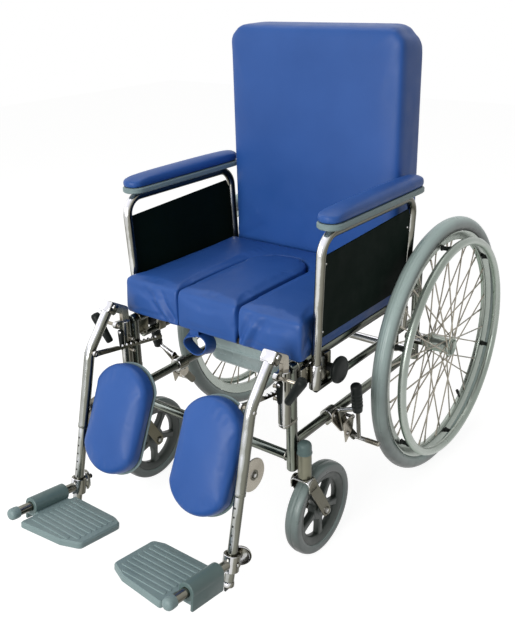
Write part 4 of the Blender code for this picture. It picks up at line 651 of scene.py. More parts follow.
def caster_fork(shape):
    half, t, width = 0.02, 0.0035, 0.026
    mid, head_y, head_z, foot_z = half + t / 2, CASTER_Y - 0.004, CROWN_Z + 0.002, CROWN_Z - 0.02
    left, right = CASTER.x - mid, CASTER.x + mid
    strip = [(left, head_y + 0.001, foot_z), (left, head_y, head_z), (right, head_y, head_z),
             (right, head_y + 0.001, foot_z)]
    section = rounded_outline(box(-width / 2, -t / 2, width / 2, t / 2), 0.0011, 3)
    shape.sweep(rounded_path(strip, 0.009), section, "chrome", Y)
    blade = bar_outline((head_y, CROWN_Z - 0.008), width, (CASTER.y, CASTER.z), width)
    for side in (1, -1):
        out = X * side
        face = CASTER + out * (half + t)
        # The fork's sides take the darker chrome copy, painted shade; the crown strip above stays bright
        # chrome.
        shape.slab([blade], t, side_plane(CASTER.x + side * mid), "chrome_painted_shade", 0.0009)
        shape.bolt(face, out, 0.015, 0.0062)
        washer = face - X * (0.0006 if side < 0 else 0)
        shape.lathe(mm(5.5, 0, 8.5, 0, 8.5, 1.2, 5.5, 1.2), washer, out, "chrome", 24)
        shape.tube([CASTER + out * 0.0135, CASTER + out * half], 0.014, "steel", edge=0.0006)
    shape.tube([CASTER - X * half, CASTER + X * half], 0.0098, "steel")
    stem = [(CASTER.x, CASTER_Y, z) for z in (CROWN_Z + 0.003, HOUSING_Z + 0.0395)]
    shape.tube(stem, 0.0138, "steel")


def caster_wheel(shape):
    rim = mm(78.7, 12.8, 76, 13, 69, 11, 64, 8.5, 62.2, 6)
    hub = mm(5.6, 13, 12, 13, 13.5, 12.2, 15, 10, 24, 9, 25.2, 7.8)
    shape.lathe(there_and_back(rim), CASTER, X, "caster_body", 96, closed=True)
    shape.lathe(there_and_back(hub), CASTER, X, "caster_body", 48, closed=True)
    spoke = there_and_back(mm(20, 8.5, 42, 6.2, 60, 7.8, 67, 11))
    for k in range(5):
        angle = math.radians(126 + 72 * k)
        u = Vector((0, math.cos(angle), math.sin(angle)))
        shape.slab([spoke], 0.016, frame_of(CASTER, u, X.cross(u)), "caster_body", 0.0022)


def caster_tyre(shape):
    tread = 36
    profile = []
    for k in range(tread + 1):
        t = math.pi * k / tread
        x = 0.016 * math.cos(t)
        profile.append((0.0905 + 0.0095 * math.sin(t) ** 0.55 - 0.0016 * math.exp(-(x / 0.0016) ** 2), x))
    profile += there_and_back(mm(85, 15.9, 80.5, 15, 79, 13.6))
    shape.lathe(profile, CASTER, X, "caster_rubber", 112, closed=True)


# Frame

def side_frame(shape):
    rail_front, upright_low, upright_top = FRONT_Y - 0.008, 0.2107, 0.502
    bars = (((rail_front, SEAT_RAIL_Z), (HUB.y, SEAT_RAIL_Z), 0.022),
            ((FRONT_Y, upright_low), (FRONT_Y, SEAT_RAIL_Z), UPRIGHT_D),
            ((HUB.y, LOW_RAIL_Z - 0.0205), (HUB.y, upright_top), UPRIGHT_D),
            ((FRONT_Y, LOW_RAIL_Z), (HUB.y, LOW_RAIL_Z), RAIL_D))
    for start, end, d in bars:
        shape.tube([(FRAME_X, *start), (FRAME_X, *end)], d, "chrome_low_painted_shade")
    caps = ((mm(0, -0.3, 9.8, -0.3, 10, 0.6, 9.2, 1.8, 0, 2.4), bars[0][0], -Y, "black"),
            (mm(0, -0.2, 9.5, -0.2, 10, 0.6, 9, 1.6, 0, 2), bars[1][0], -Z, "dark"),
            (mm(0, -0.2, 10.8, -0.2, 11, 1, 9, 3.2, 0, 4.2), bars[2][1], Z, "black"))
    for profile, place, axis, material in caps:
        shape.lathe(profile, (FRAME_X, *place), axis, material, 24)
    middle_rail = ((ARM_X, ARM_FRONT_Y), (ARM_X, HUB.y - 0.0468), (FRAME_X, HUB.y))
    shape.tube([(x, y, MID_RAIL_Z) for x, y in middle_rail], 0.016, "chrome_low_painted_shade", bend=0.03)
    for z in (LOW_RAIL_Z, SEAT_RAIL_Z):
        for y in (FRONT_Y + 0.0112, HUB.y - 0.0112):
            shape.weld((FRAME_X, y, z), Y, 0.0212)
    socket = mm(6, 0, 10.8, 0, 11.6, 0.8, 11.6, 52.2, 11, 53, 9.9, 53, 9.9, 51)
    for y in (ARM_FRONT_Y, ARM_REAR_Y):
        foot = arm_point(y, ARM_FOOT_Z)
        low = foot - ARM_AXIS * 0.009
        shape.lathe(socket, low, ARM_AXIS, "chrome", 32)
        # A dark disc inside the socket's open end: painted shade for the inside of the tube.
        shape.lathe(mm(0, 0.4, 11, 0.4), low, ARM_AXIS, "dark", 24)
        shape.rivet(foot + ARM_AXIS * 0.032 + X * 0.0113, X, 0.008, 0.002)
    top = SEAT_RAIL_Z - 0.004
    brackets = (((FRAME_X, ARM_REAR_Y - 0.008, top - 0.008), (ARM_X, ARM_REAR_Y + 0.008, top), 0.0015),
                ((FRAME_X, FRONT_Y + 0.0105, top - 0.038), (ARM_X - 0.0065, ARM_FRONT_Y, top), 0.003),
                ((FRAME_X + 0.009, KNOB.y - 0.01, MID_RAIL_Z - 0.004),
                 (KNOB.x, KNOB.y + 0.01, SEAT_RAIL_Z + 0.002), 0.0015),
                ((FRAME_X, CASTER_Y - 0.006, HOUSING_Z + 0.0133),
                 (CASTER.x, CASTER_Y + 0.006, HOUSING_Z + 0.0477), 0.0015))
    for low, high, edge in brackets:
        shape.block(low, high, "chrome_painted_shade", edge)
    housing = mm(7.4, 0, 13.5, 0, 14.2, 0.8, 14.2, 52.2, 13.5, 53, 7.4, 53)
    shape.lathe(housing, (CASTER.x, CASTER_Y, HOUSING_Z), Z, "housing", 48)
    boss = Vector((FRAME_X - 0.016, HUB.y, HUB.z))
    length = HUB.x - HUB_INNER - 0.001 - boss.x
    shape.lathe([(0.0068, 0.0), (0.0137, 0.0), (0.0145, 0.0008), (0.0145, length - 0.0008), (0.0137, length),
                 (0.0068, length)], boss, X, "chrome", 40)
    lug = HANGER_FOOT_Z - GAP - 0.003
    shape.slab([bar_outline((FRAME_X, FRONT_Y), 0.0235, (LEG_X, HANGER_Y), 0.0235)], 0.006, level_plane(lug))
    shape.tube([(LEG_X, HANGER_Y, lug - 0.004), (LEG_X, HANGER_Y, 0.428)], 0.0098, "steel")
    shape.bolt((LEG_X, HANGER_Y, lug - 0.003), -Z, 0.013, 0.006, "chrome_painted_shade")


CROSS_HALF, CROSS_WELD_X = FRAME_X - 0.004, FRAME_X - 0.0118


def front_cross_tube(shape):
    shape.tube([(-CROSS_HALF, FRONT_Y, CROSS_Z), (CROSS_HALF, FRONT_Y, CROSS_Z)], RAIL_D, "chrome_low_painted_shade")
    for side in (1, -1):
        shape.weld((side * CROSS_WELD_X, FRONT_Y, CROSS_Z), X, RAIL_D)


def back_frame(shape):
    post_x, post_y, cross_y, top, d = 0.17, 0.2681, 0.28775, 0.97, 0.022
    bar_x, bar_y, bar_z, grip_half = 0.148, post_y + 0.08, 0.93, 0.105
    shape.tube([(-post_x, post_y, LOW_RAIL_Z), (-post_x, post_y, top), (post_x, post_y, top),
                (post_x, post_y, LOW_RAIL_Z)], d, bend=0.06)
    for z in (LOW_RAIL_Z, 0.488):
        shape.tube([(-CROSS_HALF, cross_y, z), (CROSS_HALF, cross_y, z)], RAIL_D)
        for side in (1, -1):
            shape.weld((side * CROSS_WELD_X, cross_y, z), X, RAIL_D)
            shape.weld((side * post_x, post_y + 0.0102, z), Y, 0.015)
    shape.tube([(-post_x, post_y, 0.9), (-bar_x, bar_y, bar_z), (bar_x, bar_y, bar_z),
                (post_x, post_y, 0.9)], d, bend=0.035)
    shape.tube([(-grip_half, bar_y, bar_z), (grip_half, bar_y, bar_z)], 0.0245, "black", edge=0.002)
    for k in range(14):
        shape.lathe(there_and_back(mm(12, 2.5, 13, 1.2)), (-0.0975 + 0.015 * k, bar_y, bar_z), X, "black", 24)
    for side in (1, -1):
        for z in (0.56, 0.7, 0.84):
            shape.rivet((side * post_x, post_y + 0.0108, z), Y, 0.009, 0.003)


# Armrests

def arm_tube(shape):
    corners = [arm_point(ARM_FRONT_Y, ARM_FOOT_Z), arm_point(ARM_FRONT_Y, ARM_TOP_Z),
               arm_point(ARM_REAR_Y, ARM_TOP_Z), arm_point(ARM_REAR_Y, ARM_FOOT_Z)]
    shape.tube(corners, 2 * ARM_TUBE_R, bend=0.04, steps=14)


def side_panel(shape):
    front, rear, top = ARM_FRONT_Y + 0.0098, ARM_REAR_Y - 0.0098, PANEL_H + PANEL_RISE
    corners = [(front, 0), (rear, 0), (rear, top - 0.018), (rear - 0.009, top), (front, PANEL_H)]
    place = frame_of(arm_point(0, PANEL_Z), Y, ARM_AXIS)
    shape.slab([rounded_outline(corners, 0.0025, 4)], 0.003, place, "panel", 0.0007)
    outward = Vector((math.cos(ARM_LEAN), 0, -math.sin(ARM_LEAN)))
    for y, heights in ((front + 0.007, (0.012, 0.15)), (rear - 0.008, (0.012, 0.14))):
        for height in heights:
            shape.rivet(place @ Vector((y, height, 0)) + outward * 0.0014, outward, 0.0056, 0.0016)


def armrest_base(shape):
    x, half_w, front, rear = arm_point(0, ARM_TOP_Z).x, 0.027, -0.172, 0.19
    low = ARM_TOP_Z + ARM_TUBE_R + GAP
    outline = bar_outline((x, front + half_w), 2 * half_w, (x, rear - half_w), 2 * half_w, 24)
    shape.slab([outline], ARM_BASE_THICK, level_plane(low + ARM_BASE_THICK / 2), "plastic", 0.0024)
    for y in (-0.12, 0.13):
        shape.block((x - 0.008, y - 0.02, low - 0.0022), (x + 0.008, y + 0.02, low + 0.0015), "black",
                    0.0008)


def arm_knob(shape):
    profile = mm(0, 34.3, 12, 34.1, 20.5, 33.4, 25, 31.8, 27.4, 29, 28, 26.2, 27.6, 23.2, 25.5, 20.8,
                 20, 20.2, 11, 19.8, 9, 18, 8.8, 0.3, 4.1, 0.3, 4.1, -5.8, 0, -6)
    shape.lathe(profile, KNOB, X, "black", 56)


# Brakes

def brake_bracket(shape):
    fold_x, stay = LEVER_X + 0.0125, (-0.048, 0.258)
    clamp = there_and_back(mm(10.55, 15, 14.7, 15, 15.5, 14.2))
    shape.lathe(clamp, (FRAME_X, BRAKE_Y, LOW_RAIL_Z), Y, "chrome", 40, closed=True)
    plane = side_plane(BRAKE_PLATE_X)
    shape.slab([bar_outline((BRAKE_Y, LOW_RAIL_Z), 0.031, BRAKE_PIVOT, 0.026)], 0.004, plane, "steel")
    shape.tube([(BRAKE_PLATE_X, *BRAKE_PIVOT), (LEVER_X + 0.0085, *BRAKE_PIVOT)], PIN_D, "steel")
    shape.bolt((BRAKE_PLATE_X + 0.002, BRAKE_Y - 0.006, LOW_RAIL_Z + 0.004), X, 0.01, 0.0024)
    fold = rounded_outline(mm(-84, 258, -42, 264, -47, 229, -74, 206.5), [0.004, 0.004, 0.004, 0.0015], 4)
    shape.slab([fold], 0.003, side_plane(fold_x), "steel")
    shape.slab([bar_outline((-0.068, 0.249), 0.016, stay, 0.012)], 0.0038, plane, "steel")
    shape.tube([(BRAKE_PLATE_X, *stay), (fold_x, *stay)], 0.0076)
    for y, z in (stay, (-0.068, 0.228)):
        shape.bolt((LEVER_X + 0.0138, y, z), X, 0.009, 0.0036)
    for y in (BRAKE_Y - 0.009, BRAKE_Y + 0.009):
        shape.tube([(FRAME_X, y, LOW_RAIL_Z - 0.022), (FRAME_X, y, LOW_RAIL_Z - 0.012)], 0.006, "steel")
        shape.bolt((FRAME_X, y, LOW_RAIL_Z - 0.015), -Z, 0.0105, 0.005)


def brake_lever(shape):
    middle, foot, tip, elbow = LEVER_X + 0.0025, (-0.086, 0.3), (-0.0955, 0.366), (-0.082, 0.286)
    plane, hole = side_plane(middle), circle(BRAKE_PIVOT, PIN_HOLE_R, 20)
    shape.slab([bar_outline(BRAKE_PIVOT, 0.022, elbow, 0.0143), hole], 0.005, plane)
    shape.slab([bar_outline(BRAKE_PIVOT, 0.0198, BRAKE_SHOE, 0.0176), hole], 0.0048, plane)
    shape.tube([(middle, *elbow), (BRAKE_GRIP_X, foot[0], foot[1] + 0.006)], 0.01)
    shape.tube([(middle, *BRAKE_SHOE), (0.298, *BRAKE_SHOE)], 0.0098)
    shape.tube([(middle + 0.03, *BRAKE_SHOE), (0.2975, *BRAKE_SHOE)], 0.0112, "steel", edge=0.001)
    shape.tube([(0.279, foot[0] + 0.002, foot[1] + 0.008), (0.248, -0.0235, 0.1965)], 0.009)
    shape.bolt((middle + 0.0025, *BRAKE_PIVOT), X, 0.013, 0.0042)
    low, high = Vector((BRAKE_GRIP_X, *foot)), Vector((BRAKE_GRIP_X, *tip))
    length = (high - low).length
    grip = mm(0, 0, 8.5, 0, 10, 1, 10.4, 4)
    rib = mm(11, -3, 11.8, -1, 11.8, 1, 11, 3)
    for k in range(1, 6):
        grip += [(r, 0.006 + (length - 0.018) * k / 6 + height) for r, height in rib]
    grip += [(r, length - drop) for r, drop in mm(11.8, 8, 11.4, 4.5, 9.5, 1.5, 6, 0.2, 0, 0)]
    shape.lathe(grip, low, high - low, "black", 32)


# Legrests

def legrest_hanger(shape):
    post = mm(5.4, 328, 11.8, 328, 12.5, 328.8, 12.5, 439.2, 11.7, 440, 0, 440.2)
    shape.lathe(post, (LEG_X, HANGER_Y, 0), Z, "chrome", 40)
    plane = side_plane(LEG_X)
    foot, bend = (HANGER_Y + 0.0005, 0.41), (HANGER_Y + 0.0005, ELEVATE.z - 0.022)
    eye, ear = (ELEVATE.y, ELEVATE.z), (RELEASE.y, RELEASE.z)
    eye_hole, ear_hole = circle(eye, PIN_HOLE_R, 20), circle(ear, PIN_HOLE_R, 20)
    shape.slab([bar_outline(foot, 0.02, bend, 0.02)], 0.01, plane, "steel", 0.0012)
    shape.slab([bar_outline(bend, 0.02, eye, 0.02), eye_hole], 0.0098, plane, "steel", 0.0012)
    shape.slab([bar_outline((HANGER_Y, 0.431), 0.02, ear, 0.016), ear_hole], 0.0096, plane, "chrome", 0.0012)
    inner = LEG_X - 0.0245
    for z in (0.4015, 0.3745):
        shape.tube([(LEG_X, HANGER_Y, z), (inner, HANGER_Y, z)], PIN_D, "steel")
        shape.bolt((inner + 0.0012, HANGER_Y, z), -X, 0.0088, 0.0018)


def leg_tube(shape):
    down = (KNEE - ELEVATE).normalized()
    rear = Vector((0, -down.z, down.y))
    sleeve, foot = KNEE + DOWN * 0.165, KNEE + DOWN * 0.347
    shape.tube([ELEVATE + down * 0.013, KNEE, sleeve], 0.022, "chrome_leg", bend=0.07, steps=14)
    shape.lathe(mm(10, -1, 11.6, 0, 11.6, 7, 11, 8, 9.6, 8.2), sleeve - DOWN * 0.007, DOWN, "chrome_leg", 32)
    shape.tube([sleeve - DOWN * 0.004, foot - DOWN * 0.01], 0.0195, "chrome_leg")
    end_cap = mm(9.7, 0, 10.4, 1.2, 11, 4, 11, 8.8, 10.4, 9.8, 0, 10)
    shape.lathe(end_cap, foot - DOWN * 0.01, DOWN, "chrome", 32)
    shape.block(foot - Vector((0.002, 0.0108, 0.006)), foot + Vector((0.002, 0.0108, 0.002)), "dark", 0.0006)
    # Adjustment holes drawn as dark discs on the tube: painted shade for the holes.
    for k in range(5):
        hole = KNEE + DOWN * (0.188 + 0.018 * k) - BACK * 0.0097
        shape.lathe(mm(2.2, -0.4, 2.2, 0.2, 0, 0.1), hole, -BACK, "dark", 14)
    turn = frame_of((0, 0, 0), X, rear)
    plates = [(ELEVATE + X * side * 0.01075 + down * 0.003, (0.0105, 0.025, 0.023), 0.004, 3)
              for side in (1, -1)]
    plates += [(ELEVATE - rear * 0.0108 + down * 0.003, (0.024, 0.0035, 0.021), 0.001, 2),
               (ELEVATE + down * 0.014, (0.026, 0.022, 0.003), 0.001, 2)]
    for middle, size, edge, segments in plates:
        shape.block(middle - Vector(size) / 2, middle + Vector(size) / 2, "chrome", edge, turn, segments)
    for side in (1, -1):
        shape.rivet(ELEVATE + X * side * 0.0158, X * side, 0.012, 0.0036)
    shape.tube([ELEVATE - X * 0.015, ELEVATE + X * 0.015], PIN_D, "steel")
    disc = CALF_PIVOT - BACK * 0.0015
    shape.slab([circle((disc.y, disc.z), 0.033, 64)], 0.004, side_plane(LEG_X), "steel")
    shape.lathe(mm(10.5, 1.8, 10.5, 3.2, 0, 3.2), CALF_PIVOT, X, "chrome", 28)
    shape.bolt(CALF_PIVOT + X * 0.003, X, 0.012, 0.006)
    shape.tube([KNEE, KNEE - X * 0.0245], PIN_D, "steel")
    shape.bolt(KNEE - X * 0.0232, -X, 0.0092, 0.0018)
    shape.rivet(KNEE + X * 0.0106 + DOWN * 0.004, X, 0.01, 0.0026)


def ratchet_bar(shape):
    start = KNEE - X * 0.019
    along = (Vector((start.x, HANGER_Y, 0.388)) - start).normalized()
    across = Vector((0, -along.z, along.y))
    outline = mm(190, -4, 194, -1, 194, 3, 190, 5)
    for k in range(9):
        tooth = 178 - 12.5 * k
        outline += mm(tooth, 5, tooth - 3.5, 5, tooth - 4.5, 1.4, tooth - 8.5, 1.4)
    outline += mm(60, 5, 12, 5.5) + arc((0, 0), 0.007, math.radians(60), math.radians(300), 14)
    outline += mm(12, -5.5, 60, -5)
    hole = circle((0, 0), PIN_HOLE_R, 20)
    shape.slab([outline, hole], 0.005, frame_of(start, along, across), "chrome", 0.0006)


def release_lever(shape):
    shape.tube([RELEASE - X * 0.007, RELEASE + X * 0.05], PIN_D, "steel")
    low, high = RELEASE + Vector((0.0245, 0, -0.047)), RELEASE + Vector((0.064, -0.004, 0.014))
    length = (high - low).length
    grip = mm(0, 0, 4.5, 0.3, 7, 1.6, 8, 5, 8.4, 20, 9.6, 40, 10.6, 56, 10.8, 64)
    grip += [(0.01, length - 0.0045), (0.0078, length - 0.0012), (0.0, length)]
    shape.lathe(grip, low, high - low, "black", 32)


def latch_lever(shape):
    thick, pivot_z = 0.005, 0.416
    y = HANGER_Y - HANGER_R - GAP - thick / 2
    outline = bar_outline((LEG_X, pivot_z), 0.014, (LEG_X, 0.38), 0.0098)
    shape.slab([outline], thick, frame_of((0, y, 0), X, Z), "black", 0.0014)
    shape.rivet((LEG_X, y - 0.0024, pivot_z), -Y, 0.0075, 0.0014)


def calf_place(back):
    """The calf pad's own frame: across, backward and up the leg."""
    centre = Vector((CALF_X, KNEE.y, KNEE.z)) + DOWN * CALF_ALONG
    turn = Matrix.Rotation(-CALF_LEAN, 4, X) @ Matrix((X, BACK, -DOWN)).transposed().to_4x4()
    return Matrix.Translation(centre) @ turn @ Matrix.Translation((0, back, 0))


def calf_outline(half_w, half_l, count=33):
    """Straight sides and ends that are parts of an ellipse."""
    upper = []
    for k in range(count):
        share = 1 - 2 * k / (count - 1)
        drop = (1 - math.sqrt(1 - (CALF_ROUND * share) ** 2)) / (1 - math.sqrt(1 - CALF_ROUND ** 2))
        upper.append((half_w * share, half_l - CALF_SAG * drop))
    return upper + [(-u, -v) for u, v in upper]


def calf_shell(shape):
    thick, margin = 0.005, 0.001
    place = calf_place(CALF_THICK - CALF_PROUD + GAP + thick / 2) @ frame_of((0, 0, 0), X, Z)
    outline = rounded_outline(calf_outline(CALF_HALF_W + margin, CALF_HALF_L + margin), 0.008, 3)
    shape.slab([outline], thick, place, "plastic", 0.0016)
    arm_end = CALF_PIVOT - X * 0.0023
    shape.tube([arm_end - X * 0.09, arm_end], 0.019)
    low, high = arm_end - Vector((0.095, 0.01, 0.022)), arm_end + Vector((-0.055, 0.006, 0.022))
    shape.block(low, high, "chrome_painted_shade", 0.002, Matrix.Rotation(-math.radians(18), 4, X))


def foot_tube(shape):
    collar = there_and_back(mm(11.3, 17, 15.7, 17, 16.5, 16.2))
    shape.lathe(collar, FOOT, DOWN, "chrome", 40, closed=True)
    end = FOOT + AHEAD * 0.17
    shape.tube([FOOT + AHEAD * 0.014, end], 0.019)
    cap = mm(0, -15, 10.2, -15, 11.6, -14, 12.1, -10, 12.1, -2, 11.4, 2, 9.4, 4.6, 5.6, 6.2, 0, 6.6)
    shape.lathe(cap, end, AHEAD, "plastic", 36)
    place = FOOT + BACK * 0.026 - DOWN * 0.006
    cup = mm(0, -4.6, 14, -4.2, 20.8, 0.8, 21.8, 5.2, 20.6, 5.8, 19, 2.2, 13, -1.2, 0, -1.6)
    shape.lathe(cup, place, (0.6, -0.8, 0), "chrome", 40)
    shape.block(FOOT + Vector((-0.004, 0.004, -0.008)), place + Vector((0.004, 0.002, 0.006)), "chrome_painted_shade")
    shape.bolt(FOOT + X * 0.016, X, 0.01, 0.0042)
    screw = FOOT - DOWN * 0.012
    shape.tube([screw + BACK * 0.014, screw + BACK * 0.034], 0.006, "steel")
    shape.bolt(screw + BACK * 0.03, BACK, 0.01, 0.005, "black")


def footplate(shape):
    inner, outer, root, start, end, thick = 0.168, -0.0145, 0.02, 0.0255, 0.167, 0.015
    front, hinge_start, hinge_end, length = end - 0.011, 0.0405, 0.1245, 0.085
    corners = [(root, start), (inner - 0.0265, start), (inner, start + 0.01), (inner, front - 0.018),
               (inner - 0.042, front), (root, end), (root, hinge_end), (outer, hinge_end),
               (outer, hinge_start), (root, hinge_start)]
    radii = [0.003, 0.018, 0.012, 0.012, 0.016, 0.006, 0.002, 0.002, 0.002, 0.002]
    top = frame_of(FOOT - FOOT_UP * PLATE_DROP, -X, AHEAD)
    middle = frame_of(FOOT - FOOT_UP * (PLATE_DROP + thick / 2), -X, AHEAD)
    shape.slab([rounded_outline(corners, radii, 5)], thick, middle, "plastic", 0.003)
    rib_start, rib_half = 0.03, 0.0046
    for k in range(8):
        v = start + 0.019 + 0.014 * k
        reach = inner - 0.014 - (0.016 if k > 6 else 0.0)
        rib = rounded_outline(box(rib_start, v - rib_half, reach, v + rib_half), 0.004, 4)
        shape.slab([rib], 0.0026, top, "plastic", 0.0012)
    sleeve = [(0.01, 0.0), (0.016, 0.0), (0.0175, 0.0014), (0.0175, length - 0.0014), (0.016, length),
              (0.01, length)]
    shape.lathe(sleeve, FOOT + AHEAD * 0.04, AHEAD, "shade_plastic", 48, closed=True)
    turn = Matrix((-X, AHEAD, FOOT_UP)).transposed().to_4x4()
    low, high = Vector((-0.0175, 0.0402, -0.033)), Vector((-0.0115, 0.1248, -0.001))
    centre, half = FOOT + turn.to_3x3() @ ((low + high) / 2), (high - low) / 2
    shape.block(centre - half, centre + half, "shade_plastic", 0.0014, turn)


# Soft pieces

def bulge(value, low, high):
    return max(0.0, 1 - ((2 * value - low - high) / (high - low)) ** 2)


def applied(obj):
    """The object with its modifiers in its mesh."""
    bpy.context.view_layer.update()
    graph = bpy.context.evaluated_depsgraph_get()
    mesh = bpy.data.meshes.new_from_object(obj.evaluated_get(graph), depsgraph=graph)
    obj.modifiers.clear()
    old, obj.data = obj.data, mesh
    bpy.data.meshes.remove(old)
    return obj


def refined(obj, levels):
    step = obj.modifiers.new("fine", "SUBSURF")
    step.levels = step.render_levels = levels
    return applied(obj)


def relaxed(obj, times):
    step = obj.modifiers.new("relax", "SMOOTH")
    step.iterations, step.factor = times, 0.5
    return applied(obj)


def cage(low, high, cuts, reshape):
    """A box cut across each axis, reshaped point by point and rounded."""
    low, high = Vector(low), Vector(high)
    shape = bmesh.new()
    bmesh.ops.create_cube(shape, size=1.0)
    bmesh.ops.scale(shape, vec=high - low, verts=shape.verts)
    bmesh.ops.translate(shape, vec=(low + high) / 2, verts=shape.verts)
    for normal, places in zip((X, Y, Z), cuts):
        for value in places:
            everything = shape.verts[:] + shape.edges[:] + shape.faces[:]
            bmesh.ops.bisect_plane(shape, geom=everything, plane_co=normal * value, plane_no=normal)
    for vertex in shape.verts:
        vertex.co = reshape(vertex.co.copy())
    mesh = bpy.data.meshes.new("soft")
    bmesh.ops.recalc_face_normals(shape, faces=shape.faces)
    shape.to_mesh(mesh)
    shape.free()
    return refined(shown("soft", mesh), 3)


def solid(shape):
    return shown("cutter", shape.mesh("cutter"))


def trimmed(obj, cutters, operation="DIFFERENCE"):
    for cutter in cutters:
        step = obj.modifiers.new("trim", "BOOLEAN")
        step.operation, step.object = operation, cutter
    applied(obj)
    for cutter in cutters:
        bpy.data.objects.remove(cutter, do_unlink=True)
    return obj


def swelled(obj, voxel, cap, free, smooth=3):
    """Remesh a form, swell it with cloth pressure where it is free, cap the movement and refine it."""
    pressure, frames, after = 4.0, 20, 3
    step = obj.modifiers.new("even", "REMESH")
    step.mode, step.voxel_size = "VOXEL", voxel
    applied(obj)
    relaxed(obj, smooth)
    rest = [v.co.copy() for v in obj.data.vertices]
    pins = obj.vertex_groups.new(name="pins")
    pins.add([k for k, p in enumerate(rest) if not free(p)], 1.0, "REPLACE")
    cloth = obj.modifiers.new("cloth", "CLOTH")
    cloth.settings.quality = 4
    cloth.settings.use_pressure = True
    cloth.settings.uniform_pressure_force = pressure
    cloth.settings.effector_weights.gravity = 0
    cloth.settings.vertex_group_mass = "pins"
    cloth.point_cache.frame_end = frames
    for now in range(1, frames + 1):
        bpy.context.scene.frame_set(now)
    graph = bpy.context.evaluated_depsgraph_get()
    moved = [v.co.copy() for v in obj.evaluated_get(graph).data.vertices]
    obj.modifiers.clear()
    obj.vertex_groups.clear()
    for vertex, before, goal in zip(obj.data.vertices, rest, moved):
        move = goal - before
        vertex.co = before + move * free(before) * min(1.0, cap / max(move.length, 1e-9))
    bpy.context.scene.frame_set(1)
    relaxed(obj, after)
    return refined(obj, 1)


def creased(obj, folds):
    """Push the surface along a direction near each line: folds that fade toward the line's end."""
    places = numpy.empty(3 * len(obj.data.vertices))
    obj.data.vertices.foreach_get("co", places)
    places = places.reshape(-1, 3)
    push = numpy.zeros_like(places)
    for start, end, width, direction in folds:
        start, line = numpy.array(start), numpy.array(end - start)
        t = numpy.clip((places - start) @ line / (line @ line), 0, 1)
        away = numpy.linalg.norm(places - (start + t[:, None] * line), axis=1)
        push += numpy.outer((1 - 0.6 * t) * numpy.exp(-(away / width) ** 2), numpy.array(direction))
    obj.data.vertices.foreach_set("co", (places + push).ravel())
    obj.data.update()


def soft_piece(obj, name, body, node_name):
    mesh = obj.data.copy()
    bpy.data.objects.remove(obj, do_unlink=True)
    mesh.materials.clear()
    mesh.materials.append(MATERIALS["vinyl"])
    mesh.name = name
    made = put(mesh, name, body, [node_name], 70)


def soft_pair(obj, name, body):
    """A soft piece of the left side and its mirror image on the right."""
    other = shown("other", mirror_mesh(obj.data))
    for side, piece in (("left_", obj), ("right_", other)):
        soft_piece(piece, side + name + "_look", side + body, side + name)


def seat_form():
    inset = SEAT_INSET
    half, wing = 0.228 - inset, 0.0075
    low = Vector((-half, SEAT_FRONT_Y + inset, SEAT_LOW))
    high = Vector((half, SEAT_REAR_Y - inset, SEAT_TOP - inset))

    def reshape(p):
        crown = bulge(p.x, low.x, high.x) * bulge(p.y, low.y, high.y)
        if p.z > high.z - 0.001:
            p.z += 0.007 * (crown - 0.6)
        if abs(p.x) > half - 0.015 and p.y < SEAT_FRONT_Y + 0.029:
            p.x += math.copysign(wing, p.x)
        return p

    cuts = ([-half + 0.014, -0.1, 0.0, 0.1, half - 0.014],
            [SEAT_FRONT_Y + inset + 0.021, SEAT_FRONT_Y + 0.036, -0.08, 0.03, SEAT_REAR_Y - 0.02],
            [SEAT_LOW + 0.01, SEAT_TOP - 0.027])
    return cage(low, high, cuts, reshape)


def plug_prism(left, right, rear):
    """The plug's outline as a tall solid, its sides at -left and right."""
    shape = Shape()
    middle, half = (right - left) / 2, (right + left) / 2
    front = SEAT_FRONT_Y - 0.05
    outline = [(-left, front), (right, front)] + arc((middle, rear - half), half, 0, math.pi, 33)
    shape.slab([outline], 0.4, level_plane(0.5), "vinyl", 0.0001)
    return solid(shape)


def board_prism():
    shape = Shape()
    shape.block((-0.2168, SEAT_FRONT_Y + 0.0102, 0.3), (0.2168, 0.235, 0.4581), "vinyl", 0.0002)
    return solid(shape)


def seat_cushion():
    hole = plug_prism(PLUG_HALF_W + 0.0006, PLUG_HALF_W + 0.0042, PLUG_REAR_Y + 0.0024)
    cushion = trimmed(seat_form(), [hole, board_prism()])
    swelled(cushion, 0.0038, 0.003, lambda p: p.z > SEAT_FREE_Z and p.y < SEAT_REAR_Y - 0.012)
    # Each fold: start outward of the edge and its height, end and its height, width, push to the rear
    rows = ((0.0, 0.462, 0.04, 0.528, 0.007, 0.0062), (0.01, 0.456, 0.06, 0.522, 0.0075, -0.0045),
            (0.024, 0.452, 0.078, 0.514, 0.008, 0.0052))
    folds = []
    for side, reach in ((-1, 1.0), (1, 0.8)):
        edge = side * (PLUG_HALF_W + 0.01)
        for near, low, far, high, width, push in rows:
            folds.append((Vector((edge + side * near, SEAT_FRONT_Y, low)),
                          Vector((edge + side * far * reach, SEAT_FRONT_Y, high)), width, Y * push))
    creased(cushion, folds)
    soft_piece(cushion, "seat_cushion_look", "chair", "seat_cushion")


def seat_plug():
    prism = plug_prism(PLUG_HALF_W - 0.0006, PLUG_HALF_W - 0.002, PLUG_REAR_Y - 0.001)
    plug = trimmed(seat_form(), [prism], "INTERSECT")
    trimmed(plug, [board_prism()])
    swelled(plug, 0.0038, 0.003, lambda p: p.z > SEAT_FREE_Z)
    soft_piece(plug, "seat_plug_look", "seat_plug", "seat_plug")


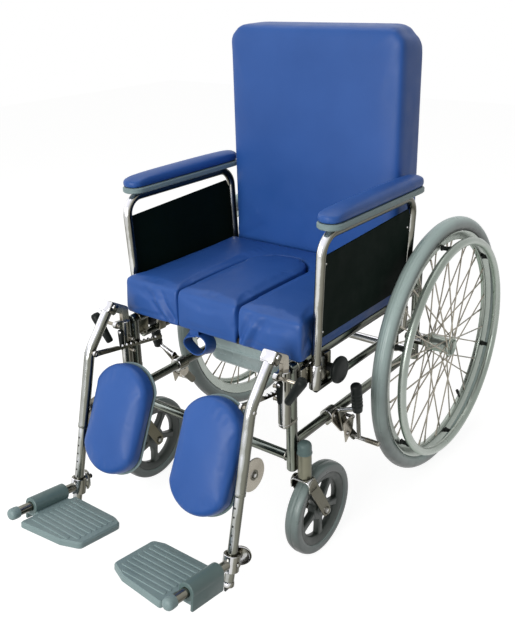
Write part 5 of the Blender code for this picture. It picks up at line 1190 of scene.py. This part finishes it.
def pull_strap():
    shape = Shape()
    wide, high, half, t, turns = 0.033, 0.0235, 0.0155, 0.0012, 64
    middle = Vector((-0.036, SEAT_FRONT_Y + 0.017, SEAT_LOW - 0.006 - high))
    path = [middle + Vector((wide * math.sin(a), 0.003 * math.sin(2 * a), high * math.cos(a)))
            for a in (2 * math.pi * k / turns for k in range(turns + 1))]
    shape.sweep(path, rounded_outline(box(-t, -half, t, half), 0.0008, 3), "vinyl", Z)
    lip_y = SEAT_FRONT_Y + 0.0053
    shape.block((-0.048, lip_y - 0.0014, middle.z + high - 0.004), (-0.024, lip_y + 0.0014, SEAT_LOW + 0.014),
                "vinyl", 0.0008)
    put(shape.mesh("pull_strap"), "pull_strap", "seat_plug", [])


def top_corner(p, half, top, radius):
    """A point of a square upper corner, moved onto the round one."""
    a, b = abs(p.x) - half + radius, p.z - top + radius
    if a > 0 and b > 0:
        share = max(a, b) / math.hypot(a, b)
        p.x, p.z = math.copysign(half - radius + a * share, p.x), top - radius + b * share
    return p


def back_cushion():
    low = Vector((-BACK_HALF_W - 0.004, BACK_FRONT_Y - 0.001, BACK_LOW))
    high = Vector((BACK_HALF_W + 0.004, BACK_REAR_Y, BACK_TOP))

    def reshape(p):
        crown = bulge(p.x, low.x, high.x) * bulge(p.z, low.z, high.z)
        if p.y < low.y + 0.001:
            p.y += 0.004 * (0.8 - crown)
        return p

    def free(p):
        return p.z > BACK_LOW + 0.006 and min(1.0, max(0.0, (BACK_FRONT_Y + 0.065 - p.y) / 0.05))

    cuts = ([low.x + 0.026, -0.1, 0.0, 0.1, high.x - 0.026], [low.y + 0.03, high.y - 0.004],
            [low.z + 0.022, 0.68, 0.86, high.z - 0.036])
    cushion = cage(low, high, cuts, reshape)
    for vertex in cushion.data.vertices:
        vertex.co = top_corner(vertex.co.copy(), high.x, high.z, 0.036 + 0.26 * (vertex.co.y - low.y))
    swelled(cushion, 0.0055, 0.0025, free, smooth=2)
    corner, width, push = Vector((low.x + 0.01, BACK_FRONT_Y, 0.545)), 0.009, Y * 0.003
    creased(cushion, [(corner, corner + Vector((0.06, 0, 0.05)), width, -push),
                      (corner + Vector((0.012, 0, -0.016)), corner + Vector((0.08, 0, 0.022)), width, push)])
    soft_piece(cushion, "back_cushion_look", "chair", "back_cushion")


def commode_pan(shape):
    rim_z, rim_t, floor, wall, bead_z = 0.4313, 0.003, 0.3263, 0.003, 0.3705
    half, front, rear, rim_half, flange = 0.105, -0.135, 0.125, 0.1217, 0.01
    floor_half, floor_front, floor_rear = 0.097, -0.118, 0.112
    inner_r, outer_r = 0.016, 0.018

    def ring_at(w, low, high, radius, z):
        return [Vector((x, y, z)) for x, y in rounded_outline(box(-w, low, w, high), radius, 8)]

    def tub_ring(inset, z):
        share = (z - floor) / (rim_z - floor)
        w = floor_half + (half - floor_half) * share - inset
        low = floor_front + (front - floor_front) * share + inset
        high = floor_rear + (rear - floor_rear) * share - inset
        return ring_at(w, low, high, 0.038 - min(inset, 0.03), z)

    def rim_ring(inset, z):
        return ring_at(rim_half - inset, front - flange + inset, rear + flange - inset, 0.014, z)

    rings = [tub_ring(wall + inner_r * (1 - math.sin(t)), floor + wall + inner_r * (1 - math.cos(t)))
             for t in quarter(5)]
    rings += [tub_ring(wall, rim_z - 0.002), tub_ring(wall - 0.001, rim_z + rim_t)]
    rings += [rim_ring(inset, rim_z + up) for inset, up in mm(0.8, 3, 0, 2.2, 0, 0.8, 0.8, 0)]
    rings += [tub_ring(-0.002, rim_z), tub_ring(0.0, rim_z - 0.003)]
    rings += [tub_ring(-out, bead_z + up) for out, up in mm(0, 6, 2.2, 4.5, 3, 1.5, 2.2, -1.5, 0, -3)]
    rings += [tub_ring(outer_r * (1 - math.sin(t)), floor + outer_r * (1 - math.cos(t)))
              for t in reversed(quarter(5))]
    shape.rings(rings, "pan")


def back_board(shape):
    margin, thick, front = 0.014, 0.012, BACK_REAR_Y + GAP
    half = BACK_HALF_W - margin
    corners = box(-half, BACK_LOW + margin, half, BACK_TOP - margin)
    outline = rounded_outline(corners, [0.008, 0.008, 0.052, 0.052], 10)
    shape.slab([outline], thick, frame_of((0, front + thick / 2, 0), X, Z), "back_shell", 0.0022)
    for side in (1, -1):
        for z in (0.535, 0.665, 0.795, 0.925):
            shape.rivet((side * (half - 0.012), front + thick, z), Y, 0.008, 0.002, "black")


def arm_pads():
    half_w, thick, front, rear = 0.0255, 0.025, -0.1715, 0.1895
    half_l, middle = (rear - front) / 2, (rear + front) / 2
    base = ARM_TOP_Z + ARM_TUBE_R + ARM_BASE_THICK + 2 * GAP
    front_slope, rear_slope = 0.06, 0.03

    def stadium(u, v):
        """A point of a rectangle, moved so that the ends are round."""
        straight = half_l - half_w
        over = abs(v) - straight
        if over <= 0:
            return u, v
        a, b = u / half_w, over / half_w
        return u * math.sqrt(1 - b * b / 2), math.copysign(straight + over * math.sqrt(1 - a * a / 2), v)

    def reshape(p):
        crown = bulge(p.x, -half_w, half_w)
        toward_front = max(0.0, (-p.y - half_l + front_slope) / front_slope)
        toward_rear = max(0.0, (p.y - half_l + rear_slope) / rear_slope)
        p.x, p.y = stadium(p.x, p.y)
        if p.z > thick - 0.001:
            p.z -= 0.006 * (1 - crown) + 0.009 * toward_front ** 2 + 0.004 * toward_rear ** 2
        return p

    cuts = ([-0.45 * half_w, 0.45 * half_w],
            [-half_l + half_w * k for k in (0.35, 1.0, 2.0)] + [half_l - half_w * k for k in (1.0, 0.35)],
            [0.004, thick - 0.009])
    pad = cage((-half_w, -half_l, 0), (half_w, half_l, thick), cuts, reshape)
    pad.data.transform(Matrix.Translation((arm_point(0, ARM_TOP_Z).x, middle, base)))
    swelled(pad, 0.0035, 0.0025, lambda p: p.z > base + 0.003)
    soft_pair(pad, "armrest_pad", "armrest")


def calf_pads():
    half_w, half_l, thick = CALF_HALF_W + 0.0008, CALF_HALF_L - 0.002, CALF_THICK - 0.0006
    edge, side, front, middle = 0.016, 0.018, 0.001, -0.004
    outline = rounded_outline(calf_outline(half_w, half_l), 0.01, 3)

    def ring(inset, y):
        across = 1 - inset / half_w
        if inset < edge:
            along = [v * (1 - inset / half_l) for _, v in outline]
        else:
            along = [v * across / (1 - edge / half_w) * (1 - edge / half_l) for _, v in outline]
        return [Vector((u * across, y, v)) for (u, _), v in zip(outline, along)]

    steps = [(0.002, thick), (0.0, thick - 0.003)]
    steps += [(edge * (1 - math.cos(t)), side + (front - side) * math.sin(t)) for t in quarter(8)]
    for share in (0.5, 0.65, 0.8, 0.92, 0.99):
        steps.append((half_w * share, middle + (front - middle) * ((1 - share) / (1 - edge / half_w)) ** 2))
    shape = Shape()
    shape.rings([ring(*step) for step in steps], "vinyl")
    pad = solid(shape)
    place = calf_place(-CALF_PROUD)
    pad.data.transform(place)
    back = place.inverted()
    swelled(pad, 0.004, 0.002, lambda p: (back @ p).y < thick - 0.01)
    soft_pair(pad, "calf_pad", "calf")


def dress_seat_board():
    """The material of the CAD node that stays."""
    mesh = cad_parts["seat_board"].data
    mesh.materials.clear()
    mesh.materials.append(MATERIALS["board"])


# Each piece: what builds it, and for a rigid one its body, its slot and the angle of its sharp edges
PIECES = ((rear_tyre, "wheel", "grey_rubber", 60), (rear_rim, "wheel", "aluminium", 50),
          (rear_hub, "wheel", "chrome"), (handrim, "wheel", "aluminium", 60),
          (rear_axle, "chair", "chrome"), (caster_cap, "chair", "grey_plastic", 50),
          (caster_fork, "caster_fork", "chrome"), (caster_wheel, "caster", "grey_plastic"),
          (caster_tyre, "caster", "grey_rubber", 60), (side_frame, "chair", "chrome"),
          (front_cross_tube, "chair", "chrome"), (back_frame, "chair", "chrome"),
          (arm_tube, "armrest", "chrome"), (side_panel, "armrest", "black_plastic"),
          (armrest_base, "armrest", "grey_plastic"), (arm_knob, "knob", "black_plastic", 50),
          (brake_bracket, "chair", "chrome"), (brake_lever, "brake", "chrome"),
          (legrest_hanger, "hanger", "chrome"), (leg_tube, "leg", "chrome"),
          (ratchet_bar, "ratchet", "chrome"), (release_lever, "release", "grey_plastic", 50),
          (latch_lever, "latch", "black_plastic"), (calf_shell, "calf", "grey_plastic"),
          (foot_tube, "foot", "chrome"), (footplate, "footplate", "grey_plastic"), (seat_cushion,),
          (seat_plug,), (pull_strap,), (commode_pan, "commode_pan", "pan_plastic", 50), (back_cushion,),
          (back_board, "chair", "board"), (arm_pads,), (calf_pads,), (dress_seat_board,))

studio()
for make, *look in PIECES:
    if look:
        shape = Shape()
        make(shape)
        shape.place(make.__name__, *look)
    else:
        make()
